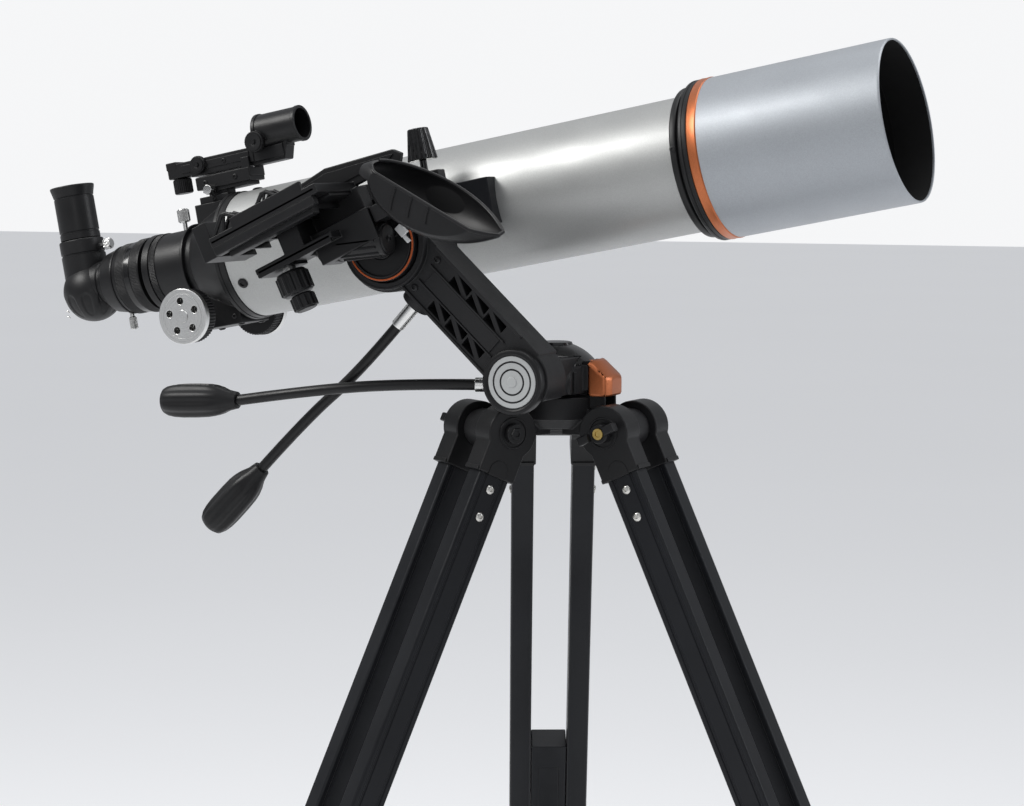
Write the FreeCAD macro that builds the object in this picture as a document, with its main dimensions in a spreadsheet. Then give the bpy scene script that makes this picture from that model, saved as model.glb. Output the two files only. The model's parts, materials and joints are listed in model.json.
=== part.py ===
"""Refractor telescope on an alt-azimuth head and a folding field tripod.

Frame: origin on the floor below the azimuth axis, +Z up, +X the way the tube points,
-Y the side of the support arm and the phone dock. Lengths are in millimetres.
Optical pieces are drawn in the tube's own frame: x forward along the tube from the point
above the azimuth axis, y across it, z away from the floor.
Leg pieces are drawn in each leg's own frame: z up the leg from its pivot, x outward, y across.
"""
import FreeCAD, Part
import math
import os
import re

Vector = FreeCAD.Vector
Rotation = FreeCAD.Rotation
Placement = FreeCAD.Placement
X_AXIS, Y_AXIS, Z_AXIS = Vector(1, 0, 0), Vector(0, 1, 0), Vector(0, 0, 1)

DIMENSIONS = {
    # tube
    "tube_radius": 55, "tube_wall": 1.5, "tube_rear": -315, "tube_front": 120,
    "shield_radius": 64.7, "shield_wall": 1.5, "shield_rear": 132.6, "shield_front": 283.2,
    "lens_radius": 51, "tube_altitude": 10.85, "tube_offset": 45, "tube_height": 1100.6,
    # focuser and eyepiece
    "drawtube_radius": 25, "drawtube_bore": 23, "slide_gap": 0.1, "barrel_radius": 15.875,
    "focuser_rear": -415, "focuser_radius": 33, "axle_radius": 4, "axle_station": -358,
    "axle_drop": 45, "pinion_radius": 7.3, "knob_radius": 24, "drum_radius": 22.5,
    "eyepiece_station": -496,
    # altitude pivot, in the tube's frame, and the arm
    "pivot_station": -115.3, "pivot_drop": 22.3, "arm_back": -52, "arm_front": -86,
    "pivot_x": -109, "pivot_height": 1057, "foot_x": 5, "foot_height": 951,
    "housing_radius": 39, "foot_radius": 28, "arm_left": 16, "arm_right": 30,
    "shaft_radius": 12, "wheel_radius": 33.5, "worm_radius": 10, "worm_reach": 46,
    "ferrule_radius": 5.8, "cable_radius": 4.5, "cap_radius": 26,
    # azimuth head and tripod hub
    "post_radius": 8, "azimuth_wheel_radius": 26, "head_radius": 36, "drum_top": 934,
    "head_bottom": 936.5, "head_top": 958, "dome_top": 977, "hub_radius": 38,
    # legs
    "leg_pivot_radius": 62.5, "leg_pivot_height": 908.8, "leg_spread": 24.49, "first_leg": 116.42,
    "leg_tube_width": 18.9, "leg_tube_depth": 28, "leg_gap": 32.3, "leg_tube_wall": 1.6,
    "leg_tube_top": 22, "leg_tube_bottom": 640, "inner_leg_top": 336, "inner_leg_bottom": 985,
    "bolt_radius": 4, "ear_radius": 21.5, "bracket_top": 585, "bracket_bottom": 668,
    "inner_leg_width": 31.2, "inner_leg_depth": 26.4,
    # spreader
    "brace_height": 571.57, "brace_hinge_radius": 30, "brace_length": 334.34, "brace_slope": 42,
    "brace_station": 600, "brace_offset": 36,
}

os.makedirs("parts", exist_ok=True)
doc = FreeCAD.newDocument("telescope")
sheet = doc.addObject("Spreadsheet::Sheet", "dims")
for row, (alias, value) in enumerate(DIMENSIONS.items(), 1):
    sheet.set(f"A{row}", alias)
    sheet.set(f"B{row}", str(value))
    sheet.setAlias(f"B{row}", alias)
doc.recompute()
nodes = []


# ---- drawing helpers ----

def dim(alias):
    """A driving dimension, read back from the sheet."""
    return float(sheet.get(alias))


def bind(thing, **sizes):
    """Text sizes become expressions on the sheet, numbers are set as they are."""
    for name, size in sizes.items():
        if isinstance(size, str):
            thing.setExpression(name, re.sub(r"[a-z][a-z_]+", lambda word: "dims." + word.group(), size))
        else:
            setattr(thing, name, size)
    return thing


def facing(direction):
    return Rotation(Z_AXIS, Vector(*direction))


def cylinder(radius, height, at=(0, 0, 0), along=(0, 0, 1)):
    solid = bind(doc.addObject("Part::Cylinder", "Cylinder"), Radius=radius, Height=height)
    solid.Placement = Placement(Vector(*at), facing(along))
    return solid


def cone(start_radius, end_radius, height, at=(0, 0, 0), along=(0, 0, 1)):
    solid = doc.addObject("Part::Cone", "Cone")
    bind(solid, Radius1=start_radius, Radius2=end_radius, Height=height)
    solid.Placement = Placement(Vector(*at), facing(along))
    return solid


def ball(radius, at):
    solid = bind(doc.addObject("Part::Sphere", "Sphere"), Radius=radius)
    solid.Placement = Placement(Vector(*at), Rotation())
    return solid


def block(x, y, z, turn=Rotation()):
    """A box from (low, high) pairs along each axis."""
    solid = doc.addObject("Part::Box", "Box")
    bind(solid, Length=x[1] - x[0], Width=y[1] - y[0], Height=z[1] - z[0])
    solid.Placement = Placement(Vector(), turn).multiply(Placement(Vector(x[0], y[0], z[0]), Rotation()))
    return solid


def fuse(*solids):
    joined = doc.addObject("Part::MultiFuse", "Fusion")
    joined.Shapes = list(solids)
    return joined


def cut(base, *tools):
    for tool in tools:
        result = doc.addObject("Part::Cut", "Cut")
        result.Base, result.Tool = base, tool
        base = result
    return base


def common(first, second):
    result = doc.addObject("Part::Common", "Common")
    result.Base, result.Tool = first, second
    return result


def ring(outer, inner, length, at, along=(1, 0, 0)):
    return cut(cylinder(outer, length, at, along), cylinder(inner, length, at, along))


def group(*solids):
    """Separate solids that make one node."""
    result = doc.addObject("Part::Compound", "Group")
    result.Links = list(solids)
    return result


def outline_body(segments, length, placement):
    """A PartDesign pad of a closed outline; a segment is 2 points, or 3 for an arc."""
    body = doc.addObject("PartDesign::Body", "Body")
    sketch = body.newObject("Sketcher::SketchObject", "Sketch")
    plane = [part for part in body.Origin.OriginFeatures if part.Role == "XY_Plane"][0]
    sketch.AttachmentSupport, sketch.MapMode = (plane, [""]), "FlatFace"
    for points in segments:
        corners = [Vector(*point, 0) for point in points]
        edge = Part.LineSegment(*corners) if len(corners) == 2 else Part.Arc(*corners)
        sketch.addGeometry(edge, False)
    pad = body.newObject("PartDesign::Pad", "Pad")
    pad.Profile = sketch
    bind(pad, Length=length)
    body.Placement = placement
    return body


def closed(points):
    return [(points[i - 1], points[i]) for i in range(len(points))]


def node(label, solid, placement=Placement()):
    """Names a finished sub-part and moves it from its own frame to the telescope's."""
    solid.Label = label
    solid.Placement = placement.multiply(solid.Placement)
    nodes.append(solid)
    return solid


TUBE = Placement(Vector(0, dim("tube_offset"), dim("tube_height")),
                 Rotation(Vector(0, -1, 0), dim("tube_altitude")))
PIVOT = Vector(dim("pivot_x"), 0, dim("pivot_height"))
ARM_RUN = Vector(dim("foot_x"), 0, dim("foot_height")) - PIVOT
ARM_FALL = math.degrees(math.atan2(-ARM_RUN.z, ARM_RUN.x))
ARM = Placement(Vector(PIVOT.x, dim("arm_back"), PIVOT.z),
                Rotation(X_AXIS, 90).multiply(Rotation(Z_AXIS, -ARM_FALL)))
ARM_DEPTH = dim("arm_back") - dim("arm_front")


# ---- optical tube ----

def main_tube():
    length = dim("tube_front") - dim("tube_rear")
    node("main_tube", ring("tube_radius", "tube_radius - tube_wall", length, (dim("tube_rear"), 0, 0)), TUBE)


def objective():
    """Black cell with two raised rings, the lens in it, the copper trim ring and the dew shield."""
    bore = "shield_radius - shield_wall"
    cell = fuse(ring(61, "tube_radius", 6, (108, 0, 0)), ring(58, "tube_radius", 3, (114, 0, 0)),
                ring(65, "tube_radius", 3, (117, 0, 0)), ring(65, "lens_radius", 4.6, (120, 0, 0)),
                ring(bore, "lens_radius", 10, (124.6, 0, 0)))
    node("objective_cell", cell, TUBE)
    node("copper_ring", ring(65.3, bore, 8, (124.6, 0, 0)), TUBE)
    sphere_radius = 310
    lens = common(cylinder("lens_radius", 10, (121.5, 0, 0), (1, 0, 0)),
                  ball(sphere_radius, (131.5 - sphere_radius, 0, 0)))
    node("objective_lens", lens, TUBE)
    length = dim("shield_front") - dim("shield_rear")
    node("dew_shield", ring("shield_radius", bore, length, (dim("shield_rear"), 0, 0)), TUBE)


def focuser_body():
    """Rear cell, taper and focuser casting in one piece, with the slot for the rack."""
    rear, tube_rear = dim("focuser_rear"), dim("tube_rear")
    flange = cylinder("tube_radius + 1", 10, (tube_rear - 10, 0, 0), (1, 0, 0))
    spigot = cylinder("tube_radius - tube_wall", 14, (tube_rear, 0, 0), (1, 0, 0))
    taper = cone(36, 52, 37, (tube_rear - 47, 0, 0), (1, 0, 0))
    barrel = cylinder("focuser_radius", tube_rear - 40 - rear, (rear, 0, 0), (1, 0, 0))
    finder_seat = block((-360, -322), (-16, 16), (20, 51))
    pinion_box = block((-378, -328), (-23, 23), (-58, -20))
    casting = fuse(flange, spigot, taper, barrel, finder_seat, pinion_box)
    bore = cylinder("drawtube_radius + slide_gap", 130, (rear - 5, 0, 0), (1, 0, 0))
    slot = block((rear - 5, tube_rear + 20), (-5.5, 5.5), (-38.5, 0))
    axle_at = (dim("axle_station"), -30, -dim("axle_drop"))
    axle_hole = cylinder("axle_radius + slide_gap / 2", 60, axle_at, (0, 1, 0))
    gear_room = cylinder("pinion_radius + 1", 15, (axle_at[0], -7.5, axle_at[2]), (0, 1, 0))
    screw_hole = cylinder(2.55, 30, (-383, 0, 20))
    node("focuser_body", cut(casting, bore, slot, axle_hole, gear_room, screw_hole), TUBE)


def drawtube():
    """Sliding tube with its rack below and the stepped rings at its rear end."""
    tube = cylinder("drawtube_radius", 133, (-419, 0, 0), (1, 0, 0))
    rings = fuse(cylinder(33, 10, (-429, 0, 0), (1, 0, 0)), cylinder(31.5, 17, (-446, 0, 0), (1, 0, 0)),
                 cone(27, 31, 19, (-465, 0, 0), (1, 0, 0)))
    rack = block((-376, -287), (-5, 5), (-37, -23.5))
    teeth = [block((-374 + 3 * step, -372.5 + 3 * step), (-6, 6), (-38, -36)) for step in range(29)]
    bore = cylinder("drawtube_bore", 140, (-425, 0, 0), (1, 0, 0))
    socket = cylinder("barrel_radius + slide_gap * 0.8", 60, (-470, 0, 0), (1, 0, 0))
    lock_hole = cylinder(2.05, 25, (-455, 0, -38))
    front = cut(fuse(tube, rack), fuse(*teeth), bore)
    rear = cut(rings, socket, lock_hole)
    node("drawtube", group(front, rear), TUBE)


def focus_axle():
    at = (dim("axle_station"), -60, -dim("axle_drop"))
    axle = cylinder("axle_radius", 120, at, (0, 1, 0))
    pinion = cylinder("pinion_radius", 13, (at[0], -6.5, at[2]), (0, 1, 0))
    node("focus_axle", fuse(axle, pinion), TUBE)


def focus_knobs():
    """Two equal knobs: a ribbed drum and a perforated disc on each end of the axle."""
    knobs = []
    for side in (-1, 1):
        at = Vector(dim("axle_station"), side * 50, -dim("axle_drop"))
        drum = cylinder("drum_radius", 12, tuple(at), (0, side, 0))
        disc = cylinder("knob_radius", 6, tuple(at + Vector(0, side * 12, 0)), (0, side, 0))
        hub_bore = cylinder("axle_radius", 10, tuple(at), (0, side, 0))
        holes = []
        for step in range(5):
            turn = math.radians(90 + 72 * step)
            offset = Vector(13.5 * math.cos(turn), side * 12, 13.5 * math.sin(turn))
            holes.append(cylinder(3.1, 8, tuple(at + offset), (0, side, 0)))
        knobs.append(cut(fuse(drum, disc), hub_bore, fuse(*holes)))
    node("focus_knobs", group(*knobs), TUBE)


def thumb_screw(label, at, along, stem, head_radius, head_length):
    """A knurled thumb screw: stem from its tip, then the head."""
    start, direction = Vector(*at), Vector(*along)
    screw = fuse(cylinder(2, stem, at, along),
                 cylinder(head_radius, head_length, tuple(start + direction * stem), along))
    node(label, screw, TUBE)


def star_diagonal():
    """Right-angle mirror elbow between the drawtube and the eyepiece."""
    station = dim("eyepiece_station")
    nose = ring("barrel_radius", 13.5, 27.4, (-465.4, 0, 0))
    collar = cylinder(22, 12.6, (-478, 0, 0), (1, 0, 0))
    body = fuse(ball(27, (-492, 0, -4)), cylinder(20, 47, (station, 0, -3)), collar)
    upper_bore = cylinder("barrel_radius + slide_gap * 0.8", 40, (station, 0, 14))
    front_bore = cylinder(13.5, 24, (-484, 0, 0), (1, 0, 0))
    screw_hole = cylinder(2.05, 12, (station + 12, 0, 36), (1, 0, 0))
    node("star_diagonal", group(cut(body, front_bore, upper_bore, screw_hole), nose), TUBE)


def eyepiece():
    station = dim("eyepiece_station")
    field_stop = cylinder(12, 14, (station, 0, 18))
    barrel = cut(cylinder("barrel_radius", 25.9, (station, 0, 18.5)), field_stop)
    body = fuse(cylinder(18, 40, (station, 0, 44.4)), cone(18, 20, 9, (station, 0, 84.4)))
    well = cone(7, 15, 6, (station, 0, 87.4))
    node("eyepiece", group(barrel, cut(body, well)), TUBE)


# ---- finder ----

def finder():
    """Bracket on the focuser casting and the red-dot sight that tilts on it."""
    shoe = block((-356, -326), (-12, 12), (51, 57))
    post = block((-348, -330), (-8, 8), (57, 67))
    base = block((-356, -300), (-12, 12), (67, 75))
    hinge_ears = [block((-308, -300), (low, low + 3), (75, 84)) for low in (-12, 9)]
    pin = cylinder(2, 24, (-304, -12, 80), (0, 1, 0))
    node("finder_bracket", fuse(shoe, post, base, *hinge_ears, pin), TUBE)
    bar = block((-386, -266), (-8.5, 8.5), (77.5, 89))
    relief = block((-400, -310), (-9, 9), (77, 78.5))
    stem = block((-290, -262), (-7, 7), (86, 96))
    window = ring(15, 13, 43, (-290, 0, 103))
    lens = cylinder(13, 2, (-286, 0, 103), (1, 0, 0))
    knob = cylinder(8, 13, (-378, 0, 65))
    pin_hole = cylinder(2.05, 30, (-304, -15, 80), (0, 1, 0))
    side_knobs = [cylinder(7.5, 5, (-352, -13.5, 86), (0, 1, 0)), cylinder(9, 6, (-288, -19, 94), (0, 1, 0))]
    stems = [cylinder(3, 5, (-352, -9, 86), (0, 1, 0)), cylinder(3, 9, (-288, -14, 94), (0, 1, 0))]
    neck = cylinder(3, 14, (-378, 0, 70))
    sight = fuse(cut(fuse(bar, stem), cylinder(13.5, 60, (-300, 0, 103), (1, 0, 0)), relief, pin_hole),
                 window, lens, knob, neck, *side_knobs, *stems)
    node("finder_sight", sight, TUBE)


# ---- mounting of the tube ----

def saddle():
    """Dovetail bar on the tube, the saddle that grips it and the altitude shaft behind the saddle."""
    tube_side = cylinder("tube_radius", 200, (-190, 0, 0), (1, 0, 0))
    bar = cut(block((-178, -49), (-67, -48), (-19, 19)), tube_side)
    node("dovetail_bar", bar, TUBE)
    station, drop = dim("pivot_station"), -dim("pivot_drop")
    plate = block((-165, -85), (-80, -67), (-44, 32))
    jaws = [block((-160, -90), (-67, -57), (19, 30)), block((-160, -90), (-67, -57), (-36, -19))]
    stack, start = [], -80
    for radius, length in ((28, 16.3), ("shaft_radius", 8.7), ("wheel_radius", 14), ("shaft_radius", 22)):
        stack.append(cylinder(radius, length, (station, start, drop), (0, -1, 0)))
        start -= length
    screw_hole = cylinder(3.05, 20, (-100, -73.5, 25))
    node("altitude_saddle", group(cut(fuse(plate, *jaws), screw_hole), *stack), TUBE)
    stem = cylinder(3, 20, (-100, -73.5, 26))
    grip = cone(12.5, 8.5, 26, (-100, -73.5, 42))
    flutes = []
    for step in range(10):
        turn = math.radians(36 * step)
        foot = (-100 + 13.3 * math.cos(turn), -73.5 + 13.3 * math.sin(turn), 41)
        flutes.append(cone(2.6, 1.4, 28, foot, (-math.cos(turn) * 0.15, -math.sin(turn) * 0.15, 1)))
    node("dovetail_knob", cut(fuse(stem, grip), fuse(*flutes)), TUBE)


# ---- support arm and azimuth head ----

def support_arm():
    """Slanted arm with a round housing at each end and a ribbed channel in its face."""
    reach = ARM_RUN.Length
    left, right = dim("arm_left"), dim("arm_right")
    upper = cylinder("housing_radius", ARM_DEPTH, (0, 0, 0))
    lower = cylinder("foot_radius", ARM_DEPTH, (reach, 0, 0))
    web = block((0, reach), (-left, right), (0, ARM_DEPTH))
    rim = cut(cylinder("housing_radius - 2", 5, (0, 0, ARM_DEPTH)), cylinder(31, 5, (0, 0, ARM_DEPTH)))
    nozzle = cylinder("worm_radius + 3", 14, (dim("worm_reach"), -left + 6, ARM_DEPTH / 2), (0, -1, 0))
    pockets, bays, start = [], 3, 60
    pitch = (reach - 34 - start) / bays
    pocket_floor = Placement(Vector(0, 0, ARM_DEPTH - 14), Rotation())
    for low, high in ((-left + 4, -1), (16, right - 4)):
        for bay in range(bays):
            near, far = start + bay * pitch, start + (bay + 1) * pitch
            lower_row = [(near + 1, low), (far - 5, low), (near + 1, high - 3)]
            upper_row = [(far - 1, low + 3), (far - 1, high), (near + 5, high)]
            for corners in (lower_row, upper_row):
                pockets.append(outline_body(closed(corners), 16, pocket_floor))
    shaft_bore = cylinder("shaft_radius + slide_gap / 2", 60, (0, 0, -5))
    gear_room = cylinder("wheel_radius + 0.5", 15.5, (0, 0, 7.7))
    worm_bore = cylinder("worm_radius + 0.4", 70, (dim("worm_reach"), 22, ARM_DEPTH / 2), (0, -1, 0))
    floor_gap = block((reach - 60, reach + 60), (-80, 80), (-5, ARM_DEPTH + 5))
    floor_gap.Placement = ARM.inverse().multiply(
        Placement(Vector(-120, -120, dim("head_bottom") - 60), Rotation()))
    bind(floor_gap, Length=300, Width=120, Height=60)
    arm = cut(fuse(upper, lower, web, rim, nozzle), fuse(*pockets), shaft_bore, gear_room, worm_bore,
              floor_gap)
    node("support_arm", arm, ARM)
    cap_at = (reach, 0, ARM_DEPTH)
    cap = cut(cylinder("cap_radius", 7.5, cap_at), cylinder(21, 4, (reach, 0, ARM_DEPTH + 5)))
    node("arm_cap", cap, ARM)


def azimuth_head():
    """Turning casting over the tripod post, its glossy dome and the copper end block."""
    bottom, top = dim("head_bottom"), dim("head_top")
    drum = cylinder("head_radius", top - bottom, (0, 0, bottom))
    bridge = block((-20, 26), (dim("arm_back"), -10), (bottom + 0.5, 966))
    worm_at = worm_line(-16)
    case_floor = block((-120, 120), (-120, 120), (bottom - 40, bottom + 0.5))
    arm_side = block((-120, 120), (-120, dim("arm_back")), (bottom - 40, bottom + 40))
    worm_case = cut(cylinder(11, 62, tuple(worm_at), WORM_WAY), case_floor, arm_side)
    tail = block((20, 36), (-17, 17), (bottom + 3, top + 2))
    post_bore = cylinder("post_radius + slide_gap / 2", 60, (0, 0, bottom - 5))
    wheel_room = cylinder("azimuth_wheel_radius + 0.6", 8, (0, 0, 940))
    worm_bore = cylinder(5.5, 80, tuple(worm_line(-14)), WORM_WAY)
    nut_room = cylinder(15, 10, (0, 0, top))
    casting = cut(fuse(drum, bridge, worm_case, tail), post_bore, wheel_room, worm_bore, nut_room)
    node("azimuth_casting", casting)
    rise, base = dim("dome_top") - top, 35
    sphere_radius = (base ** 2 + rise ** 2) / (2 * rise)
    centre = (0, 0, dim("dome_top") - sphere_radius)
    shell = cut(common(ball(sphere_radius, centre), cylinder(base, rise + 1, (0, 0, top))),
                common(ball(sphere_radius - 2.5, centre), cylinder(base - 2.5, rise + 1, (0, 0, top))),
                block((-20, 26), (-52, -10), (bottom, 966)), block((20, 36), (-17, 17), (bottom, top + 2)))
    node("azimuth_dome", shell)
    end = common(block((36, 54), (-17, 17), (934.8, 964)), cylinder(36, 40, (19, 0, 930)))
    node("copper_block", common(end, cone(54, 20, 34, (19, 0, 932))))


WORM_WAY = (-math.cos(math.radians(20)), -math.sin(math.radians(20)), 0)
WORM_OFFSET = Vector(WORM_WAY[1], -WORM_WAY[0], 0) * -32.2
WORM_LEVEL = 944


def worm_line(distance):
    """A point on the azimuth worm's axis, measured toward its cable."""
    return WORM_OFFSET + Vector(*WORM_WAY) * distance + Vector(0, 0, WORM_LEVEL)


def azimuth_drive():
    post = cylinder("post_radius", 36, (0, 0, dim("drum_top")))
    wheel = cylinder("azimuth_wheel_radius", 7, (0, 0, 940.5))
    nut = cylinder(13, 6, (0, 0, dim("head_top") + 0.5))
    node("azimuth_post", fuse(post, wheel, nut))
    worm = fuse(cylinder(5, 59, tuple(worm_line(-13)), WORM_WAY),
                cylinder("ferrule_radius", 16, tuple(worm_line(46)), WORM_WAY))
    node("azimuth_worm", worm)


def altitude_drive():
    """Worm across the arm, with the steel coupling that holds the control cable."""
    middle = ARM_DEPTH / 2
    reach = dim("worm_reach")
    worm = fuse(cylinder("worm_radius", 30, (reach, 16, middle), (0, -1, 0)),
                cylinder(7, 10, (reach, -14, middle), (0, -1, 0)),
                cylinder("ferrule_radius", 24, (reach, -24, middle), (0, -1, 0)))
    node("altitude_worm", worm, ARM)


# ---- slow-motion cables and their knobs ----

def cable_run(label, points):
    """Round tube along straight runs joined by arcs as large as the runs allow."""
    points = [Vector(*point) for point in points]
    edges, start = [], points[0]
    for before, corner, after in zip(points, points[1:], points[2:]):
        back, onward = before - corner, after - corner
        half_turn = (math.pi - back.getAngle(onward)) / 2
        inset = 0.45 * min(back.Length, onward.Length)
        radius = inset / math.tan(half_turn)
        print(label, "bend radius", round(radius, 1))
        entry = corner + Vector(back).normalize() * inset
        leave = corner + Vector(onward).normalize() * inset
        inward = (Vector(back).normalize() + Vector(onward).normalize()).normalize()
        middle = corner + inward * (radius / math.cos(half_turn) - radius)
        edges += [Part.LineSegment(start, entry).toShape(), Part.Arc(entry, middle, leave).toShape()]
        start = leave
    edges.append(Part.LineSegment(start, points[-1]).toShape())
    path = Part.Wire(edges)
    section = Part.Wire(Part.makeCircle(dim("cable_radius"), points[0], points[1] - points[0]))
    cable = doc.addObject("Part::Feature", "Cable")
    cable.Shape = path.makePipeShell([section], True, False)
    expected = math.pi * dim("cable_radius") ** 2 * path.Length
    if abs(cable.Shape.Volume / expected - 1) > 0.01:
        raise ValueError(label + " does not follow its route")
    print(label, "length", round(path.Length, 1))
    node(label, cable)


def cable_knob(label, at, along):
    """Long faceted grip: a waist, a swelling and a blunt end."""
    start, way = Vector(*at), Vector(*along).normalize()
    pieces, distance = [], 0.7
    for first, last, length in ((7, 9, 8), (9, 14, 16), (14, 14.5, 34), (14.5, 12, 12)):
        pieces.append(cone(first, last, length, tuple(start + way * distance), tuple(way)))
        distance += length
    node(label, fuse(*pieces))


AZIMUTH_CABLE_END = (-246, -90, 926.5)
ALTITUDE_CABLE_END = (-234, -73, 869)


def control_cables():
    ferrule = worm_line(62)
    cable_run("azimuth_cable", (tuple(ferrule), tuple(worm_line(118)), (-172, -84, 938), AZIMUTH_CABLE_END))
    cable_knob("azimuth_cable_knob", AZIMUTH_CABLE_END, (-70, -4, -3))
    middle = ARM_DEPTH / 2
    start = ARM.multVec(Vector(dim("worm_reach"), -48, middle))
    turn = ARM.multVec(Vector(dim("worm_reach"), -102, middle))
    cable_run("altitude_cable", (tuple(start), tuple(turn), (-192, -69.5, 913), ALTITUDE_CABLE_END))
    cable_knob("altitude_cable_knob", ALTITUDE_CABLE_END, (-42, -4, -44))


# ---- phone dock ----

DOCK_TILT = 25
DOCK = Placement(Vector(PIVOT.x, 0, PIVOT.z), Rotation(Vector(0, -1, 0), DOCK_TILT))


def dock():
    """Phone dock on the altitude shaft: plug disc, carriage, platform, clamp, knobs and mirror hood.

    In its own frame x runs along the platform, z up from it and -y toward the user.
    """
    disc = cylinder(30, 9, (0, -86.5, 0), (0, -1, 0))
    socket = cylinder("shaft_radius", 20, (0, -76, 0), (0, -1, 0))
    lean = math.radians(18)
    barrel = cylinder(13, 58, (-40, -111, 16), (math.cos(lean), 0, -math.sin(lean)))
    carriage = block((-40, 16), (-125, -95.5), (0, 26))
    spine = block((-60, 8), (-112, -96), (20, 47))
    platform = block((-104, 2), (-165, -96), (45, 53))
    stop_outline = [(-78, 50), (46, 50), (50, 56), (44, 62), (-18, 74), (-64, 70), (-78, 62)]
    back_stop = outline_body(closed(stop_outline), 6, Placement(Vector(0, -96, 0), Rotation(X_AXIS, 90)))
    front_lip = block((-80, -10), (-165, -161), (53, 60))
    rail = block((-90, -14), (-140, -100), (14, 19))
    strut = block((-60, -40), (-140, -100), (19, 45))
    bore_x = cylinder(3.6, 30, (-71.6, -120, 10))
    slot = block((-105, -88), (-138.3, -121.7), (44, 54))
    frame = cut(fuse(disc, barrel, carriage, spine, platform, back_stop, front_lip, rail, strut), socket,
                bore_x, slot)
    node("dock_frame", frame, DOCK)
    node("dock_jaw", fuse(block((-118, -104.5), (-160, -100), (38, 68)),
                          block((-104.5, -90), (-138, -122), (47.5, 52.5))), DOCK)
    knob_at = (-71.6, -120, 8.5)
    grip = fuse(cylinder(3.5, 14, (-71.6, -120, 8)), cylinder(14, 19, knob_at, (0, 0, -1)),
                cylinder(6, 4, knob_at))
    node("dock_side_knob", grip, DOCK)
    node("dock_fine_knob", cylinder(10.5, 13, (-70, -120, -11.7), (0, 0, -1)), DOCK)
    dock_hood()


def dock_hood():
    """Boat-shaped mirror hood: a hollow spindle with flat sides, open above."""
    start, finish, half_height = Vector(0, -124, 59), Vector(120, -124, 12), 28
    run = finish - start
    length, wall = run.Length, 2.5
    turn = math.degrees(math.atan2(-run.z, run.x))
    spindle_frame = Placement(Vector(PIVOT.x, 0, PIVOT.z) + start, Rotation(Y_AXIS, turn))

    def spindle(inset):
        tip, top, nose = inset, half_height - inset, 5
        body = doc.addObject("PartDesign::Body", "Body")
        sketch = body.newObject("Sketcher::SketchObject", "Sketch")
        plane = [part for part in body.Origin.OriginFeatures if part.Role == "XY_Plane"][0]
        sketch.AttachmentSupport, sketch.MapMode = (plane, [""]), "FlatFace"
        axis_ends = Vector(0, tip, 0), Vector(0, length - tip, 0)
        nose_ends = Vector(nose, tip, 0), Vector(nose, length - tip, 0)
        sketch.addGeometry(Part.Arc(nose_ends[0], Vector(top, length / 2, 0), nose_ends[1]), False)
        for first, last in ((nose_ends[1], axis_ends[1]), axis_ends[::-1], (axis_ends[0], nose_ends[0])):
            sketch.addGeometry(Part.LineSegment(first, last), False)
        turned = body.newObject("PartDesign::Revolution", "Revolution")
        turned.Profile, turned.ReferenceAxis = sketch, (sketch, ["V_Axis"])
        turned.Angle = 360
        body.Placement = Placement(Vector(), Rotation(Z_AXIS, -90))
        return common(body, block((-20, length + 20), (inset - 16, 26.5 - inset), (-60, 60)))

    opening = block((-length, length), (-60, 60), (0, 80))
    slope = Rotation(X_AXIS, 22).multiply(Rotation(Y_AXIS, 6))
    opening.Placement = Placement(Vector(length / 2, 0, 5), slope).multiply(opening.Placement)
    seat = cylinder(30.5, 30, (0, 0, 0))
    seat.Placement = spindle_frame.inverse().multiply(
        Placement(Vector(PIVOT.x, -95.5, PIVOT.z), facing((0, -1, 0))))
    near_block = block((-60, 20), (-14, 40), (-60, -4))
    bracket = block((16, 42), (-122, -104), (12, 25))
    bracket.Placement = spindle_frame.inverse().multiply(DOCK).multiply(bracket.Placement)
    shell = cut(spindle(0), spindle(wall), opening, seat, near_block)
    node("dock_hood", fuse(shell, cut(bracket, spindle(0))), spindle_frame)


# ---- tripod ----

def leg_frame(number):
    turn = Rotation(Z_AXIS, dim("first_leg") + 120 * number)
    foot = turn.multVec(Vector(dim("leg_pivot_radius"), 0, dim("leg_pivot_height")))
    return Placement(foot, turn.multiply(Rotation(Y_AXIS, -dim("leg_spread"))))


def hub_frame(number):
    turn = Rotation(Z_AXIS, dim("first_leg") + 120 * number)
    return Placement(turn.multVec(Vector(dim("leg_pivot_radius"), 0, dim("leg_pivot_height"))), turn)


def placed(solid, placement):
    solid.Placement = placement.multiply(solid.Placement)
    return solid


def tripod_hub():
    top = dim("drum_top")
    drum = cylinder("hub_radius", 18, (0, 0, top - 18))
    skirt = cone(26, 34, 8, (0, 0, top - 26))
    pieces, holes, bolts = [drum, skirt], [], []
    for number in range(3):
        frame = hub_frame(number)
        pieces.append(placed(cylinder(15.5, 28.6, (0, -14.3, 0), (0, 1, 0)), frame))
        pieces.append(placed(block((-50, 0), (-13, 13), (-6, 15.5)), frame))
        holes.append(placed(cylinder("bolt_radius", 40, (0, -20, 0), (0, 1, 0)), frame))
        shank = cylinder("bolt_radius", 83, (0, -44, 0), (0, 1, 0))
        head = cylinder(8, 5, (0, 38, 0), (0, 1, 0))
        bolts.append(placed(fuse(shank, head), frame))
    node("tripod_hub", cut(fuse(*pieces), fuse(*holes)))
    node("leg_pivot_bolts", group(*bolts))


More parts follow.
